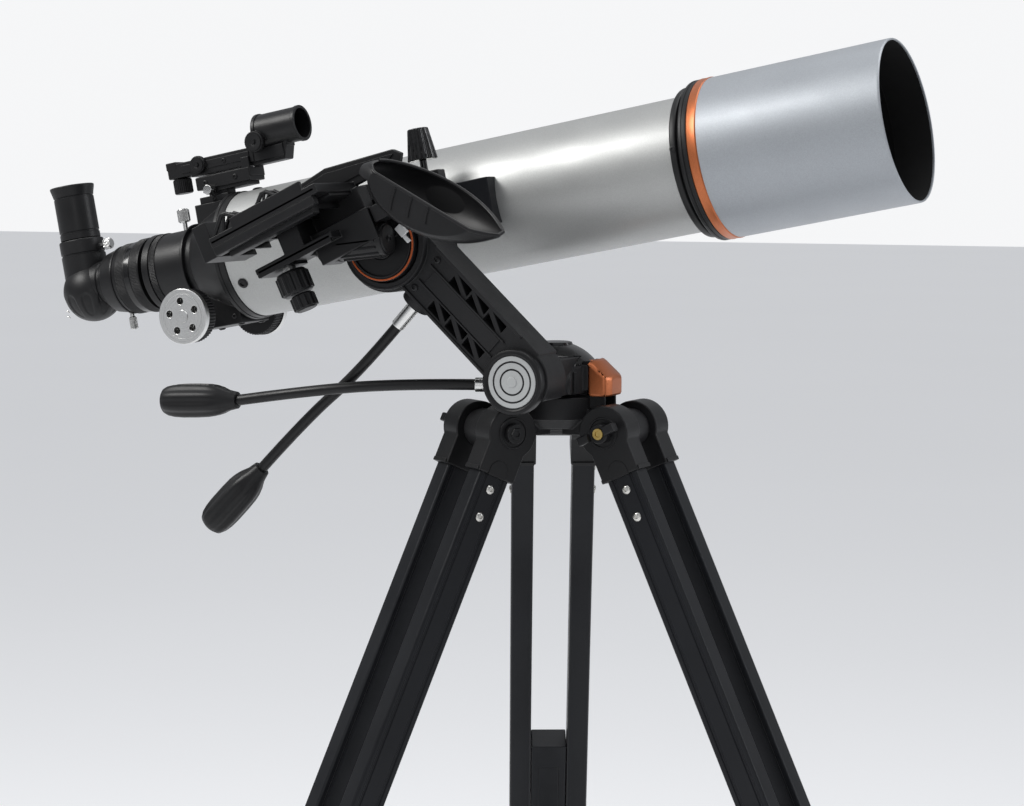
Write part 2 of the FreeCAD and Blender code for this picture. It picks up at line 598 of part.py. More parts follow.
def leg(number):
    frame = leg_frame(number)
    name = f"leg_{number + 1}_"
    depth, gap, width = dim("leg_tube_depth") / 2, dim("leg_gap") / 2, dim("leg_tube_width")
    wall, top, bottom = dim("leg_tube_wall"), dim("leg_tube_top"), dim("leg_tube_bottom")
    node(name + "outer_tubes", group(*[leg_tube(side, depth, gap, width, wall, top, bottom)
                                       for side in (-1, 1)]), frame)
    brackets = [leg_ear(side, depth, gap, width, top) for side in (-1, 1)]
    brackets.append(lower_bracket(depth, gap, width, bottom))
    node(name + "brackets", group(*brackets), frame)
    inner_leg(name, frame)
    foot(name, frame)
    lock = fuse(cylinder("bolt_radius", 19, (14, 0, -645), (1, 0, 0)),
                cylinder(14, 13, (25, 0, -645), (1, 0, 0)),
                block((25, 36), (-24, 24), (-649, -641)))
    node(name + "lock_knob", lock, frame)
    wings = [block((-17, -7), (-52, -43), (-3.5, 3.5)), block((7, 17), (-52, -43), (-3.5, 3.5))]
    thread = cylinder(4.06, 12, (0, -48, 0), (0, 1, 0))
    nut = cut(fuse(cylinder(8, 8, (0, -46, 0), (0, 1, 0)), *wings), thread)
    node(name + "wing_nut", nut, frame)


def span(side, low, high):
    """The (low, high) pair of a distance range on the chosen side of the leg."""
    return (low, high) if side > 0 else (-high, -low)


def leg_tube(side, depth, gap, width, wall, top, bottom):
    outer = block((-depth, depth), span(side, gap, gap + width), (-bottom, -top))
    inner = block((wall - depth, depth - wall), span(side, gap + wall, gap + width - wall), (-bottom, -top))
    return cut(outer, inner)


def leg_ear(side, depth, gap, width, top):
    """Plastic ear: turns on the pivot bolt and holds the top of one tube."""
    low, high, foot_line = gap - 1.55, gap + width + 2.45, 37
    start = low if side > 0 else -high
    dome = cylinder("ear_radius", high - low, (0, start, 0), (0, 1, 0))
    cheek = block((-17, 17), span(side, low, high), (-foot_line, 0))
    socket = block((-depth, depth), span(side, gap, gap + width), (-foot_line - 20, -top))
    hole = cylinder("bolt_radius + slide_gap", 60, (0, start - 5, 0), (0, 1, 0))
    return cut(fuse(dome, cheek), socket, hole)


def lower_bracket(depth, gap, width, bottom):
    """Collar at the end of the twin tubes: guides the inner leg and carries the spreader's lugs."""
    high, low = -dim("bracket_top"), -dim("bracket_bottom")
    side = gap + width + 2.5
    collar = block((-18, 18), (-side, side), (low, high))
    offset = dim("brace_offset")
    station = -dim("brace_station")
    lugs = [block((-offset - 10, -17), (start, start + 4), (station - 12, station + 12))
            for start in (-11.5, 7.5)]
    passage = block((-13.5, 13.5), (-15.9, 15.9), (low - 1, high + 1))
    sockets = [block((-depth, depth), span(way, gap, gap + width), (-bottom, high + 1)) for way in (-1, 1)]
    stud_hole = cylinder("bolt_radius + slide_gap / 2", 20, (10, 0, -645), (1, 0, 0))
    return cut(fuse(collar, *lugs), passage, fuse(*sockets), stud_hole)


def inner_leg(name, frame):
    half_x, half_y = dim("inner_leg_depth") / 2, dim("inner_leg_width") / 2
    top, bottom, wall = -dim("inner_leg_top"), -dim("inner_leg_bottom"), 2.4
    bar = block((-half_x, half_x), (-half_y, half_y), (bottom, top))
    inside = block((wall - half_x, half_x - wall), (wall - half_y, half_y - wall), (bottom, top - 20))
    panels = [block((-half_x, 1 - half_x), (-9, 9), (bottom + 20, top - 24)),
              block((half_x - 1, half_x), (-9, 9), (bottom + 20, top - 24))]
    node(name + "inner_leg", cut(bar, inside, *panels), frame)


def foot(name, frame):
    """Rubber boot on the inner leg, cut flat where it stands on the floor."""
    half_x, half_y = dim("inner_leg_depth") / 2, dim("inner_leg_width") / 2
    boot = cut(block((-17, 17), (-19, 19), (-1012, -955)),
               block((-half_x, half_x), (-half_y, half_y), (-dim("inner_leg_bottom"), -950)))
    placed(boot, frame)
    ground = block((-900, 900), (-900, 900), (-60, 0))
    node(name + "foot", cut(boot, ground))


def spreader():
    """Centre hub and the three arms that hold the legs apart."""
    level, radius = dim("brace_height"), dim("brace_hinge_radius")
    pieces = [cylinder(20, 16, (0, 0, level - 8))]
    for number in range(3):
        turn = Placement(Vector(0, 0, level), Rotation(Z_AXIS, dim("first_leg") + 120 * number))
        for start in (-10.5, 7):
            pieces.append(placed(block((16, radius + 6), (start, start + 3.5), (-7, 7)), turn))
        pieces.append(placed(cylinder(3, 21, (radius, -10.5, 0), (0, 1, 0)), turn))
        hinge = turn.multiply(Placement(Vector(radius, 0, 0), Rotation(Y_AXIS, dim("brace_slope"))))
        length = dim("brace_length")
        strip = fuse(block((0, length), (-6.5, 6.5), (-6, 6)), cylinder(7, 13, (0, -6.5, 0), (0, 1, 0)),
                     cylinder(7, 13, (length, -6.5, 0), (0, 1, 0)))
        arm = cut(strip, cylinder(3.06, 20, (0, -10, 0), (0, 1, 0)))
        node(f"brace_arm_{number + 1}", arm, hinge)
    node("brace_hub", fuse(*pieces))


def build():
    main_tube()
    objective()
    focuser_body()
    drawtube()
    focus_axle()
    focus_knobs()
    thumb_screw("focuser_lock_screw", (-383, 0, 26), (0, 0, 1), 14, 5.5, 12)
    thumb_screw("diagonal_lock_screw", (-455, 0, -17), (0, 0, -1), 16, 3.6, 12)
    thumb_screw("eyepiece_lock_screw", (-478.5, 0, 36), (1, 0, 0), 7, 5, 8)
    star_diagonal()
    eyepiece()
    finder()
    saddle()
    support_arm()
    azimuth_head()
    azimuth_drive()
    altitude_drive()
    control_cables()
    dock()
    tripod_hub()
    for number in range(3):
        leg(number)
    spreader()


def check_and_write():
    doc.recompute()
    for thing in doc.Objects:
        if "Invalid" in thing.State or "Error" in thing.State:
            raise RuntimeError(thing.Label + " failed")
    for part in nodes:
        if part.Shape.isNull() or not part.Shape.isValid() or not part.Shape.Solids:
            raise RuntimeError(part.Label + " has no valid shape")
    for part in nodes:
        part.Shape.exportStep(f"parts/{part.Label}.step")
    print(len(nodes), "nodes written")


build()
check_and_write()
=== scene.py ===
import json
import math

import bmesh
import bpy
from mathutils import Matrix, Vector

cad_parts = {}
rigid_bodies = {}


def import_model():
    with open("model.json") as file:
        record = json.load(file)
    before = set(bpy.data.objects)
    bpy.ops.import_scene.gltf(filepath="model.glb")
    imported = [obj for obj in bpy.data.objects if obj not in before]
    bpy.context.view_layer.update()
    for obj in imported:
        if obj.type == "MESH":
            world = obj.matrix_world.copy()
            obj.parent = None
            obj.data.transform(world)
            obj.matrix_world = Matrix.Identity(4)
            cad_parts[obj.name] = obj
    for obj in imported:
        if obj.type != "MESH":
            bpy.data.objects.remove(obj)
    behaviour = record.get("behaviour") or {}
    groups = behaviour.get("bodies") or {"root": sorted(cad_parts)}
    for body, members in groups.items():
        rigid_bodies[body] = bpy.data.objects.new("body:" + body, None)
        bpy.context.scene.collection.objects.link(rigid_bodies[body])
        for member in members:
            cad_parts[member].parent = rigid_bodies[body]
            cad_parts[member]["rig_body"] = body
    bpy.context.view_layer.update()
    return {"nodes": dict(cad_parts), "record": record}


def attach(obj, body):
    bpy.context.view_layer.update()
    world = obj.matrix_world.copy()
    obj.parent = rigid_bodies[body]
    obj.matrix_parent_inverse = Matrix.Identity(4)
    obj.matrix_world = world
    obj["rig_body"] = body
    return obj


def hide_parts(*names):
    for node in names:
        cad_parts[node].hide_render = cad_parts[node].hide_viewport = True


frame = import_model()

record = frame["record"]
SLOT_OF = {part["node"]: part["material_slot"] for part in record["subparts"]}


# ---- frames: millimetres in each sub-part's own frame, metres in the world ----

def turn(axis, degrees):
    return Matrix.Rotation(math.radians(degrees), 4, axis)


def shift(x, y, z):
    return Matrix.Translation((x, y, z))


def along(direction, at=(0, 0, 0)):
    """A frame whose z axis runs along a direction."""
    return shift(*at) @ Vector(direction).to_track_quat("Z", "Y").to_matrix().to_4x4()


MM = Matrix.Scale(0.001, 4)
ALONG_X = turn("Y", 90)
# FRONT turns a drawing's (x, z, depth) into (x, depth, z); UPRIGHT does so toward -y
FRONT = Matrix(((1, 0, 0, 0), (0, 0, 1, 0), (0, 1, 0, 0), (0, 0, 0, 1)))
UPRIGHT = Matrix(((1, 0, 0, 0), (0, 0, -1, 0), (0, 1, 0, 0), (0, 0, 0, 1)))
PIVOT, FOOT = Vector((-109, 0, 1057)), Vector((5, 0, 951))
ARM_FALL = math.degrees(math.atan2(PIVOT.z - FOOT.z, FOOT.x - PIVOT.x))
ARM_REACH = (FOOT - PIVOT).length
TUBE = MM @ shift(0, 45, 1100.6) @ turn("Y", -10.85)
ARM = MM @ shift(PIVOT.x, -52, PIVOT.z) @ turn("X", 90) @ turn("Z", -ARM_FALL)
DOCK_TILT = 25
DOCK = MM @ shift(*PIVOT) @ turn("Y", -DOCK_TILT)


LEG_ANGLE, LEG_PIVOT, LEG_LEAN = 116.42, shift(62.5, 0, 908.8), turn("Y", -24.49)


def leg_frame(number):
    return MM @ turn("Z", LEG_ANGLE + 120 * number) @ LEG_PIVOT @ LEG_LEAN


# ---- camera ----

def make_camera():
    data = bpy.data.cameras.new("Camera")
    data.lens, data.sensor_width = 89.2, 36
    data.clip_end = 50
    camera = bpy.data.objects.new("Camera", data)
    camera.location = (0.8585, -1.86405, 1.12497)
    camera.rotation_euler = (math.radians(90 - 5.52), 0, math.radians(25.72))
    bpy.context.scene.collection.objects.link(camera)
    bpy.context.scene.camera = camera


make_camera()


# ---- materials ----

class Nodes:
    """A short way to write a material's nodes."""

    def __init__(self, name):
        self.material = bpy.data.materials.new(name)
        self.material.use_nodes = True
        self.tree = self.material.node_tree
        self.shader = self.tree.nodes["Principled BSDF"]
        self.place = self.node("ShaderNodeTexCoord").outputs["Object"]

    def node(self, kind, **values):
        made = self.tree.nodes.new(kind)
        for name, value in values.items():
            setattr(made, name, value)
        return made

    def link(self, source, target):
        self.tree.links.new(source, target)

    def noise(self, scale, detail=3):
        made = self.node("ShaderNodeTexNoise")
        made.inputs["Scale"].default_value = scale
        made.inputs["Detail"].default_value = detail
        self.link(self.place, made.inputs["Vector"])
        return made.outputs["Fac"]

    def ramp(self, source, low, high, start=0.3, end=0.7):
        made = self.node("ShaderNodeMapRange")
        made.inputs["From Min"].default_value, made.inputs["From Max"].default_value = start, end
        made.inputs["To Min"].default_value, made.inputs["To Max"].default_value = low, high
        self.link(source, made.inputs["Value"])
        return made.outputs["Result"]

    def colours(self, source, first, second, start=0.35, end=0.65):
        made = self.node("ShaderNodeValToRGB")
        elements = made.color_ramp.elements
        elements[0].position, elements[0].color = start, (*first, 1)
        elements[1].position, elements[1].color = end, (*second, 1)
        self.link(source, made.inputs["Fac"])
        self.link(made.outputs["Color"], self.shader.inputs["Base Color"])

    def bumps(self, *layers):
        """Bump layers as (height, strength, distance in metres)."""
        normal = None
        for height, strength, distance in layers:
            made = self.node("ShaderNodeBump")
            made.inputs["Strength"].default_value = strength
            made.inputs["Distance"].default_value = distance
            self.link(height, made.inputs["Height"])
            if normal:
                self.link(normal, made.inputs["Normal"])
            normal = made.outputs["Normal"]
        self.link(normal, self.shader.inputs["Normal"])

    def set(self, **values):
        for name, value in values.items():
            self.shader.inputs[name.replace("_", " ")].default_value = value


def shade(colour, factor):
    return tuple(channel * factor for channel in colour)


def finish_of(name, colour, rough, metal=0.0, grain=700, depth=0.00006, spread=0.12, wear=0.06,
              coat=0.0, speck=None):
    """Painted, moulded or machined surface: cloudy tone, fine grain, uneven gloss."""
    made = Nodes(name)
    made.set(Metallic=metal, Coat_Weight=coat, Coat_Roughness=0.12, Specular_IOR_Level=0.28)
    made.colours(made.noise(14, 4), shade(colour, 1 - spread), shade(colour, 1 + spread))
    made.link(made.ramp(made.noise(34, 5), rough - wear, rough + wear), made.shader.inputs["Roughness"])
    layers = [(made.noise(grain, 2), 0.5, depth)]
    if speck:
        layers.append((made.noise(speck, 1), 0.35, depth / 2))
    made.bumps(*layers)
    return made.material


def flake_paint(name, colour, rough, metal, flake, painted_sparkle_and_tint, coat):
    """Metallic paint under a thin clear coat: light and dark flake tone painted as sparkle (painted
    glints), mixed with a random cloudy tint.
    """
    made = Nodes(name)
    made.set(Metallic=metal, Coat_Weight=coat, Coat_Roughness=0.18)
    flakes = made.node("ShaderNodeTexVoronoi", feature="F1")
    flakes.inputs["Scale"].default_value = flake
    made.link(made.place, flakes.inputs["Vector"])
    tone = made.node("ShaderNodeSeparateColor")
    made.link(flakes.outputs["Color"], tone.inputs["Color"])
    cloud = made.noise(9, 3)
    # painted sparkle: each flake's light or dark tone stands in for glints, plus a cloudy tint that varies
    # at random
    painted_sparkle_and_cloud = made.node("ShaderNodeMath", operation="MULTIPLY_ADD")
    painted_sparkle_and_cloud.inputs[1].default_value = 0.75
    made.link(tone.outputs["Red"], painted_sparkle_and_cloud.inputs[0])
    made.link(made.ramp(cloud, 0.0, 0.25), painted_sparkle_and_cloud.inputs[2])
    made.colours(painted_sparkle_and_cloud.outputs[0], shade(colour, 1 - painted_sparkle_and_tint), shade(colour, 1 + painted_sparkle_and_tint), 0.05, 0.95)
    made.link(made.ramp(made.noise(25, 4), rough - 0.04, rough + 0.05), made.shader.inputs["Roughness"])
    made.bumps((tone.outputs["Green"], 0.25, 0.00003), (made.noise(420, 2), 0.2, 0.00004))
    return made.material


def ringed_metal(name, colour, centre, axis_mask, rings=2600):
    """Metal turned on a lathe: fine rings about an axis."""
    made = Nodes(name)
    made.set(Metallic=1.0)
    offset = made.node("ShaderNodeVectorMath", operation="SUBTRACT")
    offset.inputs[1].default_value = centre
    made.link(made.place, offset.inputs[0])
    flat = made.node("ShaderNodeVectorMath", operation="MULTIPLY")
    flat.inputs[1].default_value = axis_mask
    made.link(offset.outputs[0], flat.inputs[0])
    radius = made.node("ShaderNodeVectorMath", operation="LENGTH")
    made.link(flat.outputs[0], radius.inputs[0])
    grooves = made.node("ShaderNodeTexNoise", noise_dimensions="1D")
    grooves.inputs["Scale"].default_value = rings
    grooves.inputs["Detail"].default_value = 2
    made.link(radius.outputs["Value"], grooves.inputs["W"])
    made.colours(grooves.outputs["Fac"], shade(colour, 0.86), shade(colour, 1.08))
    made.link(made.ramp(grooves.outputs["Fac"], 0.2, 0.38), made.shader.inputs["Roughness"])
    made.bumps((grooves.outputs["Fac"], 0.5, 0.00006))
    return made.material


def coated_glass():
    made = Nodes("coated_glass")
    made.set(Transmission_Weight=1.0, IOR=1.52, Coat_Weight=1.0, Coat_Roughness=0.02)
    made.shader.inputs["Coat Tint"].default_value = (0.55, 0.95, 0.75, 1)
    made.colours(made.noise(6, 2), (0.80, 0.93, 0.88), (0.86, 0.96, 0.93))
    made.link(made.ramp(made.noise(40, 3), 0.0, 0.03), made.shader.inputs["Roughness"])
    made.bumps((made.noise(12, 1), 0.05, 0.00002))
    return made.material


SILVER, BLUE_GREY, ORANGE = (0.375, 0.38, 0.375), (0.335, 0.355, 0.38), (0.46, 0.135, 0.047)
FINISH = {
    # the sixth value sets how strong the painted sparkle (flake glints in the colour) and the random cloudy
    # tint are
    "tube_paint": flake_paint("tube_paint", SILVER, 0.47, 0.55, 2600, 0.10, 0.2),
    "shield_paint": flake_paint("shield_paint", BLUE_GREY, 0.44, 0.45, 2300, 0.10, 0.15),
    "copper": flake_paint("copper", ORANGE, 0.38, 0.75, 2400, 0.12, 0.2),
    "lens_glass": coated_glass(),
    "satin_black": finish_of("satin_black", (0.0075, 0.0075, 0.0082), 0.4,
                             grain=1500, depth=0.0001, speck=420),
    "black_anodised": finish_of("black_anodised", (0.010, 0.0108, 0.013), 0.34, 0.3, 2200, 0.00005),
    "gloss_black": finish_of("gloss_black", (0.006, 0.006, 0.0065), 0.2,
                             grain=900, depth=0.00001, coat=0.35),
    "cap_grey": finish_of("cap_grey", (0.40, 0.41, 0.41), 0.42, grain=1200, depth=0.00005, spread=0.05),
    "cable_black": finish_of("cable_black", (0.008, 0.008, 0.0085), 0.36, grain=900, depth=0.00012),
    "bright_steel": finish_of("bright_steel", (0.66, 0.66, 0.65), 0.2, 1.0, 1500, 0.00005, 0.08),
    "brushed_knob": ringed_metal("brushed_knob", (0.70, 0.70, 0.69),
                                 TUBE @ Vector((-358, 0, -45)), (1, 0, 1)),
    "foot_rubber": finish_of("foot_rubber", (0.017, 0.017, 0.018), 0.72, grain=500, depth=0.00030),
}
EXTRA = {
    "flock_black": finish_of("flock_black", (0.004, 0.004, 0.0042), 0.85, grain=2500, depth=0.0002),
    "cast_black": finish_of("cast_black", (0.012, 0.012, 0.013), 0.5, grain=900, depth=0.00022, speck=240),
    "grip_rubber": finish_of("grip_rubber", (0.014, 0.014, 0.015), 0.55, grain=1100, depth=0.00020),
    "orange_trim": finish_of("orange_trim", (0.42, 0.085, 0.02), 0.45, grain=900, depth=0.00004),
    "white_tab": finish_of("white_tab", (0.72, 0.73, 0.73), 0.42, grain=900, depth=0.00004, spread=0.04),
    "tinted_glass": finish_of("tinted_glass", (0.010, 0.012, 0.018), 0.05,
                              grain=80, depth=0.00001, coat=1.0),
    "brass": finish_of("brass", (0.50, 0.36, 0.12), 0.3, 1.0, 900, 0.00005),
    "screw_steel": finish_of("screw_steel", (0.62, 0.61, 0.58), 0.24, 1.0, 1200, 0.00005),
}


def material(name):
    return FINISH.get(name) or EXTRA[name]


# ---- mesh tools ----

def sharp_edges(mesh, degrees):
    limit = math.radians(degrees)
    return [edge for edge in mesh.edges if len(edge.link_faces) == 2 and edge.calc_face_angle() > limit]


class Shape:
    """A mesh gathered from solids that are drawn in millimetres."""

    def __init__(self):
        self.mesh = bmesh.new()

    def add(self, part, place=Matrix(), bevel=0.0, slot=0):
        bmesh.ops.recalc_face_normals(part, faces=part.faces)
        if bevel:
            edges = sharp_edges(part, 32)
            bmesh.ops.bevel(part, geom=edges, offset=bevel, offset_type="OFFSET", segments=2,
                            profile=0.5, affect="EDGES", clamp_overlap=True)
        for face in part.faces:
            face.smooth = True
            face.material_index = slot
        part.transform(place)
        data = bpy.data.meshes.new("part")
        part.to_mesh(data)
        part.free()
        self.mesh.from_mesh(data)
        bpy.data.meshes.remove(data)
        return self

    def box(self, x, y, z, bevel=0.6, slot=0, place=Matrix()):
        part = bmesh.new()
        bmesh.ops.create_cube(part, size=1)
        middle = [(low + high) / 2 for low, high in (x, y, z)]
        size = [high - low for low, high in (x, y, z)]
        part.transform(shift(*middle) @ Matrix.Diagonal((*size, 1)))
        return self.add(part, place, bevel, slot)

    def prism(self, outline, low, high, bevel=0.5, slot=0, place=Matrix()):
        part = bmesh.new()
        bottom = [part.verts.new((*point, low)) for point in outline]
        top = [part.verts.new((*point, high)) for point in outline]
        part.faces.new(bottom[::-1])
        part.faces.new(top)
        for i in range(len(outline)):
            part.faces.new((bottom[i - 1], bottom[i], top[i], top[i - 1]))
        return self.add(part, place, bevel, slot)

    def lathe(self, profile, place=Matrix(), bevel=0.0, slot=0, sides=72, hollow=False, flute=None):
        """Turns (distance, radius) points about z; flute(angle, distance) scales the radius."""
        part = bmesh.new()
        rings = []
        for distance, radius in profile:
            if radius <= 0:
                rings.append([part.verts.new((0, 0, distance))])
                continue
            ring = []
            for side in range(sides):
                angle = 2 * math.pi * side / sides
                reach = radius * (flute(angle, distance) if flute else 1)
                ring.append(part.verts.new((reach * math.cos(angle), reach * math.sin(angle), distance)))
            rings.append(ring)
        pairs = list(zip(rings, rings[1:])) + ([(rings[-1], rings[0])] if hollow else [])
        for first, second in pairs:
            for side in range(sides):
                after = (side + 1) % sides
                corners = [first[side % len(first)], first[after % len(first)],
                           second[after % len(second)], second[side % len(second)]]
                corners = list(dict.fromkeys(corners))
                if len(corners) > 2:
                    part.faces.new(corners)
        if not hollow:
            for ring, flip in ((rings[0], -1), (rings[-1], 1)):
                if len(ring) > 1:
                    part.faces.new(ring[::flip])
        return self.add(part, place, bevel, slot)

    def rod(self, points, radius, slot=0, sides=12, place=Matrix()):
        """A round bar through points, its ends closed."""
        points = [Vector(point) for point in points]
        part = bmesh.new()
        rings, upright = [], Vector((0.31, 0.17, 0.94)).normalized()
        for i, point in enumerate(points):
            way = (points[min(i + 1, len(points) - 1)] - points[max(i - 1, 0)]).normalized()
            side = way.cross(upright).normalized()
            other = side.cross(way)
            rings.append([part.verts.new(point + radius * (math.cos(a) * side + math.sin(a) * other))
                          for a in (2 * math.pi * n / sides for n in range(sides))])
        for first, second in zip(rings, rings[1:]):
            for n in range(sides):
                part.faces.new((first[n - 1], first[n], second[n], second[n - 1]))
        part.faces.new(rings[0][::-1])
        part.faces.new(rings[-1])
        return self.add(part, place, 0, slot)

    def gear(self, radius, depth, count, low, high, place=Matrix(), slot=0, bevel=0.4):
        """A knurled or ribbed ring: flat-topped ribs round a drum."""
        outline = []
        for n in range(count * 4):
            angle = 2 * math.pi * (n + 0.5) / (count * 4)
            reach = radius if n % 4 in (0, 1) else radius - depth
            outline.append((reach * math.cos(angle), reach * math.sin(angle)))
        return self.prism(outline, low, high, bevel, slot, place)

    def screw(self, place, radius, height, slot=0):
        """A round-headed screw standing on z = 0, with a sunk socket."""
        rim = radius * 0.46
        profile = [(0, 0), (0, radius * 0.98), (height * 0.45, radius), (height * 0.8, radius * 0.82),
                   (height, radius * 0.6), (height, rim), (height * 0.35, rim), (height * 0.35, 0)]
        return self.lathe(profile, place, 0, slot, 24)

    def done(self, name, body, slots, place, replaces=(), smooth=42):
        self.mesh.transform(place)
        data = bpy.data.meshes.new(name)
        self.mesh.to_mesh(data)
        self.mesh.free()
        return piece(name, data, body, slots, replaces, smooth)


def piece(name, data, body, slots, replaces=(), smooth=42):
    for slot in slots:
        data.materials.append(material(slot))
    data.set_sharp_from_angle(angle=math.radians(smooth))
    made = bpy.data.objects.new(name, data)
    bpy.context.scene.collection.objects.link(made)
    weighted = made.modifiers.new("Weighted normals", "WEIGHTED_NORMAL")
    weighted.keep_sharp, weighted.weight = True, 60
    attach(made, body)
    if replaces:
        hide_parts(*replaces)
    return made


def softened(node, width=0.6, slots=None, choose=None, place=MM, smooth=42):
    """The node's own shape with its edges rounded; choose(point, normal) gives the slot of a face."""
    source = frame["nodes"][node]
    mesh = bmesh.new()
    mesh.from_mesh(source.data)
    bmesh.ops.remove_doubles(mesh, verts=mesh.verts, dist=3e-6)
    bmesh.ops.dissolve_limit(mesh, angle_limit=math.radians(0.6), use_dissolve_boundaries=False,
                             verts=mesh.verts, edges=mesh.edges)
    edges = [edge for edge in sharp_edges(mesh, 34) if edge.calc_length() > 1e-5]
    bmesh.ops.bevel(mesh, geom=edges, offset=width / 1000, offset_type="OFFSET", segments=2,
                    profile=0.5, affect="EDGES", clamp_overlap=False)
    inverse = place.inverted()
    spin = inverse.to_3x3().normalized()
    for face in mesh.faces:
        face.smooth = True
        face.material_index = 0
        if choose:
            face.material_index = choose(inverse @ face.calc_center_median(), spin @ face.normal)
    data = bpy.data.meshes.new(node + "_soft")
    mesh.to_mesh(data)
    mesh.free()
    return piece(node + "_shape", data, source["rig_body"], slots or [SLOT_OF[node]], [node], smooth)


def polar(radius, degrees, centre=(0, 0)):
    angle = math.radians(degrees)
    return centre[0] + radius * math.cos(angle), centre[1] + radius * math.sin(angle)


# ---- control cables ----

CABLES = {
    "azimuth": [(-47.25, -51.46, 944), (-99.87, -70.62, 944), (-172, -84, 938), (-246, -90, 926.5)],
    "altitude": [(-108.0, -69, 990.5), (-144.8, -69, 951.0), (-192, -69.5, 913), (-234, -73, 869)],
}
KNOB_WAY = {"azimuth": (-70, -4, -3), "altitude": (-42, -4, -44)}


def knob_piece(which):
    """Long fluted handle with a round nose, on the end of a cable."""
    swell = [(0, 6.2), (0.6, 7.0), (8, 8.6), (14, 11.4), (20, 13.2), (26, 14.1), (36, 14.5), (50, 14.5),
             (58, 14.0), (64, 12.8), (68, 10.8), (70, 7.5), (70, 0)]

    def flute(angle, distance):
        share = max(0.0, min(1.0, (distance - 8) / 16, (69 - distance) / 6))
        return 1 - 0.085 * share * abs(math.cos(angle * 4)) ** 3

    shape = Shape().lathe([(0, 0)] + swell, sides=96, flute=flute)
    place = MM @ along(KNOB_WAY[which], CABLES[which][-1])
    return shape.done(f"{which}_handle", f"{which}_knob_body", ["satin_black"], place,
                      [f"{which}_cable_knob"], smooth=60)


def cable_piece(which):
    points = [Vector(point) / 1000 for point in CABLES[which]]
    curve = bpy.data.curves.new(f"{which}_sleeve", "CURVE")
    curve.dimensions = "3D"
    spline = curve.splines.new("NURBS")
    spline.points.add(len(points) - 1)
    for target, point in zip(spline.points, points):
        target.co = (*point, 1)
    spline.order_u = 3
    spline.use_endpoint_u = True
    spline.resolution_u = 24
    curve.bevel_depth, curve.bevel_resolution, curve.use_fill_caps = 0.0045, 6, True
    curve.materials.append(material("cable_black"))
    cable = bpy.data.objects.new(f"{which}_sleeve", curve)
    bpy.context.scene.collection.objects.link(cable)
    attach(cable, "head")
    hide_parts(f"{which}_cable")
    handle = knob_piece(which)


for cable_name in CABLES:
    cable_piece(cable_name)


# ---- studio ----

def area_light(name, at, target, size, power, colour=(1, 1, 1)):
    data = bpy.data.lights.new(name, "AREA")
    data.shape, data.size, data.size_y = "RECTANGLE", size[0], size[1]
    data.energy, data.color = power, colour
    light = bpy.data.objects.new(name, data)
    light.location = at
    light.rotation_euler = (Vector(target) - Vector(at)).to_track_quat("-Z", "Y").to_euler()
    bpy.context.scene.collection.objects.link(light)


def studio():
    bpy.context.scene.view_settings.view_transform = "Standard"
    bpy.context.scene.view_settings.look = "None"
    mesh = bmesh.new()
    bmesh.ops.create_grid(mesh, x_segments=2, y_segments=2, size=30)
    data = bpy.data.meshes.new("studio_floor")
    mesh.to_mesh(data)
    mesh.free()
    floor = bpy.data.objects.new("studio_floor", data)
    bpy.context.scene.collection.objects.link(floor)
    pale = Nodes("studio_floor")
    pale.colours(pale.noise(0.6, 1), (0.80, 0.803, 0.81), (0.81, 0.813, 0.82))
    pale.set(Emission_Strength=0.2)
    pale.shader.inputs["Emission Color"].default_value = (0.97, 0.98, 1, 1)
    pale.link(pale.ramp(pale.noise(2, 2), 0.85, 0.95), pale.shader.inputs["Roughness"])
    pale.bumps((pale.noise(60, 2), 0.05, 0.0002))
    data.materials.append(pale.material)
    sky()
    centre = (-0.05, 0.0, 1.05)
    area_light("key", (-1.7, -1.3, 2.8), centre, (1.3, 1.0), 56, (1, 0.99, 0.97))
    area_light("top", (0.4, 0.3, 3.0), centre, (2.2, 1.2), 19)
    area_light("rim", (2.4, 1.2, 1.9), centre, (0.7, 2.0), 22, (0.95, 0.97, 1))
    area_light("front", (1.2, -3.2, 1.5), centre, (1.0, 1.6), 7)


def sky():
    """Soft dome: bright overhead, dimmer toward the floor, and plain pale where it is seen directly."""
    world = bpy.data.worlds.new("studio")
    world.use_nodes = True
    tree = world.node_tree
    dim_light = tree.nodes["Background"]
    seen = tree.nodes.new("ShaderNodeBackground")
    seen.inputs["Color"].default_value = (0.92, 0.925, 0.935, 1)
    place = tree.nodes.new("ShaderNodeTexCoord")
    split = tree.nodes.new("ShaderNodeSeparateXYZ")
    ramp = tree.nodes.new("ShaderNodeMapRange")
    for name, value in (("From Min", -0.2), ("From Max", 0.8), ("To Min", 0.1), ("To Max", 0.62)):
        ramp.inputs[name].default_value = value
    mix, path = tree.nodes.new("ShaderNodeMixShader"), tree.nodes.new("ShaderNodeLightPath")
    dim_light.inputs["Color"].default_value = (0.94, 0.96, 1.0, 1)
    tree.links.new(place.outputs["Generated"], split.inputs["Vector"])
    tree.links.new(split.outputs["Z"], ramp.inputs["Value"])
    tree.links.new(ramp.outputs["Result"], dim_light.inputs["Strength"])
    tree.links.new(path.outputs["Is Camera Ray"], mix.inputs["Fac"])
    tree.links.new(dim_light.outputs["Background"], mix.inputs[1])
    tree.links.new(seen.outputs["Background"], mix.inputs[2])
    tree.links.new(mix.outputs["Shader"], tree.nodes["World Output"].inputs["Surface"])
    bpy.context.scene.world = world


studio()


# ---- optical tube ----

def ring_profile(low, high, outer, inner):
    return [(low, inner), (low, outer), (high, outer), (high, inner)]


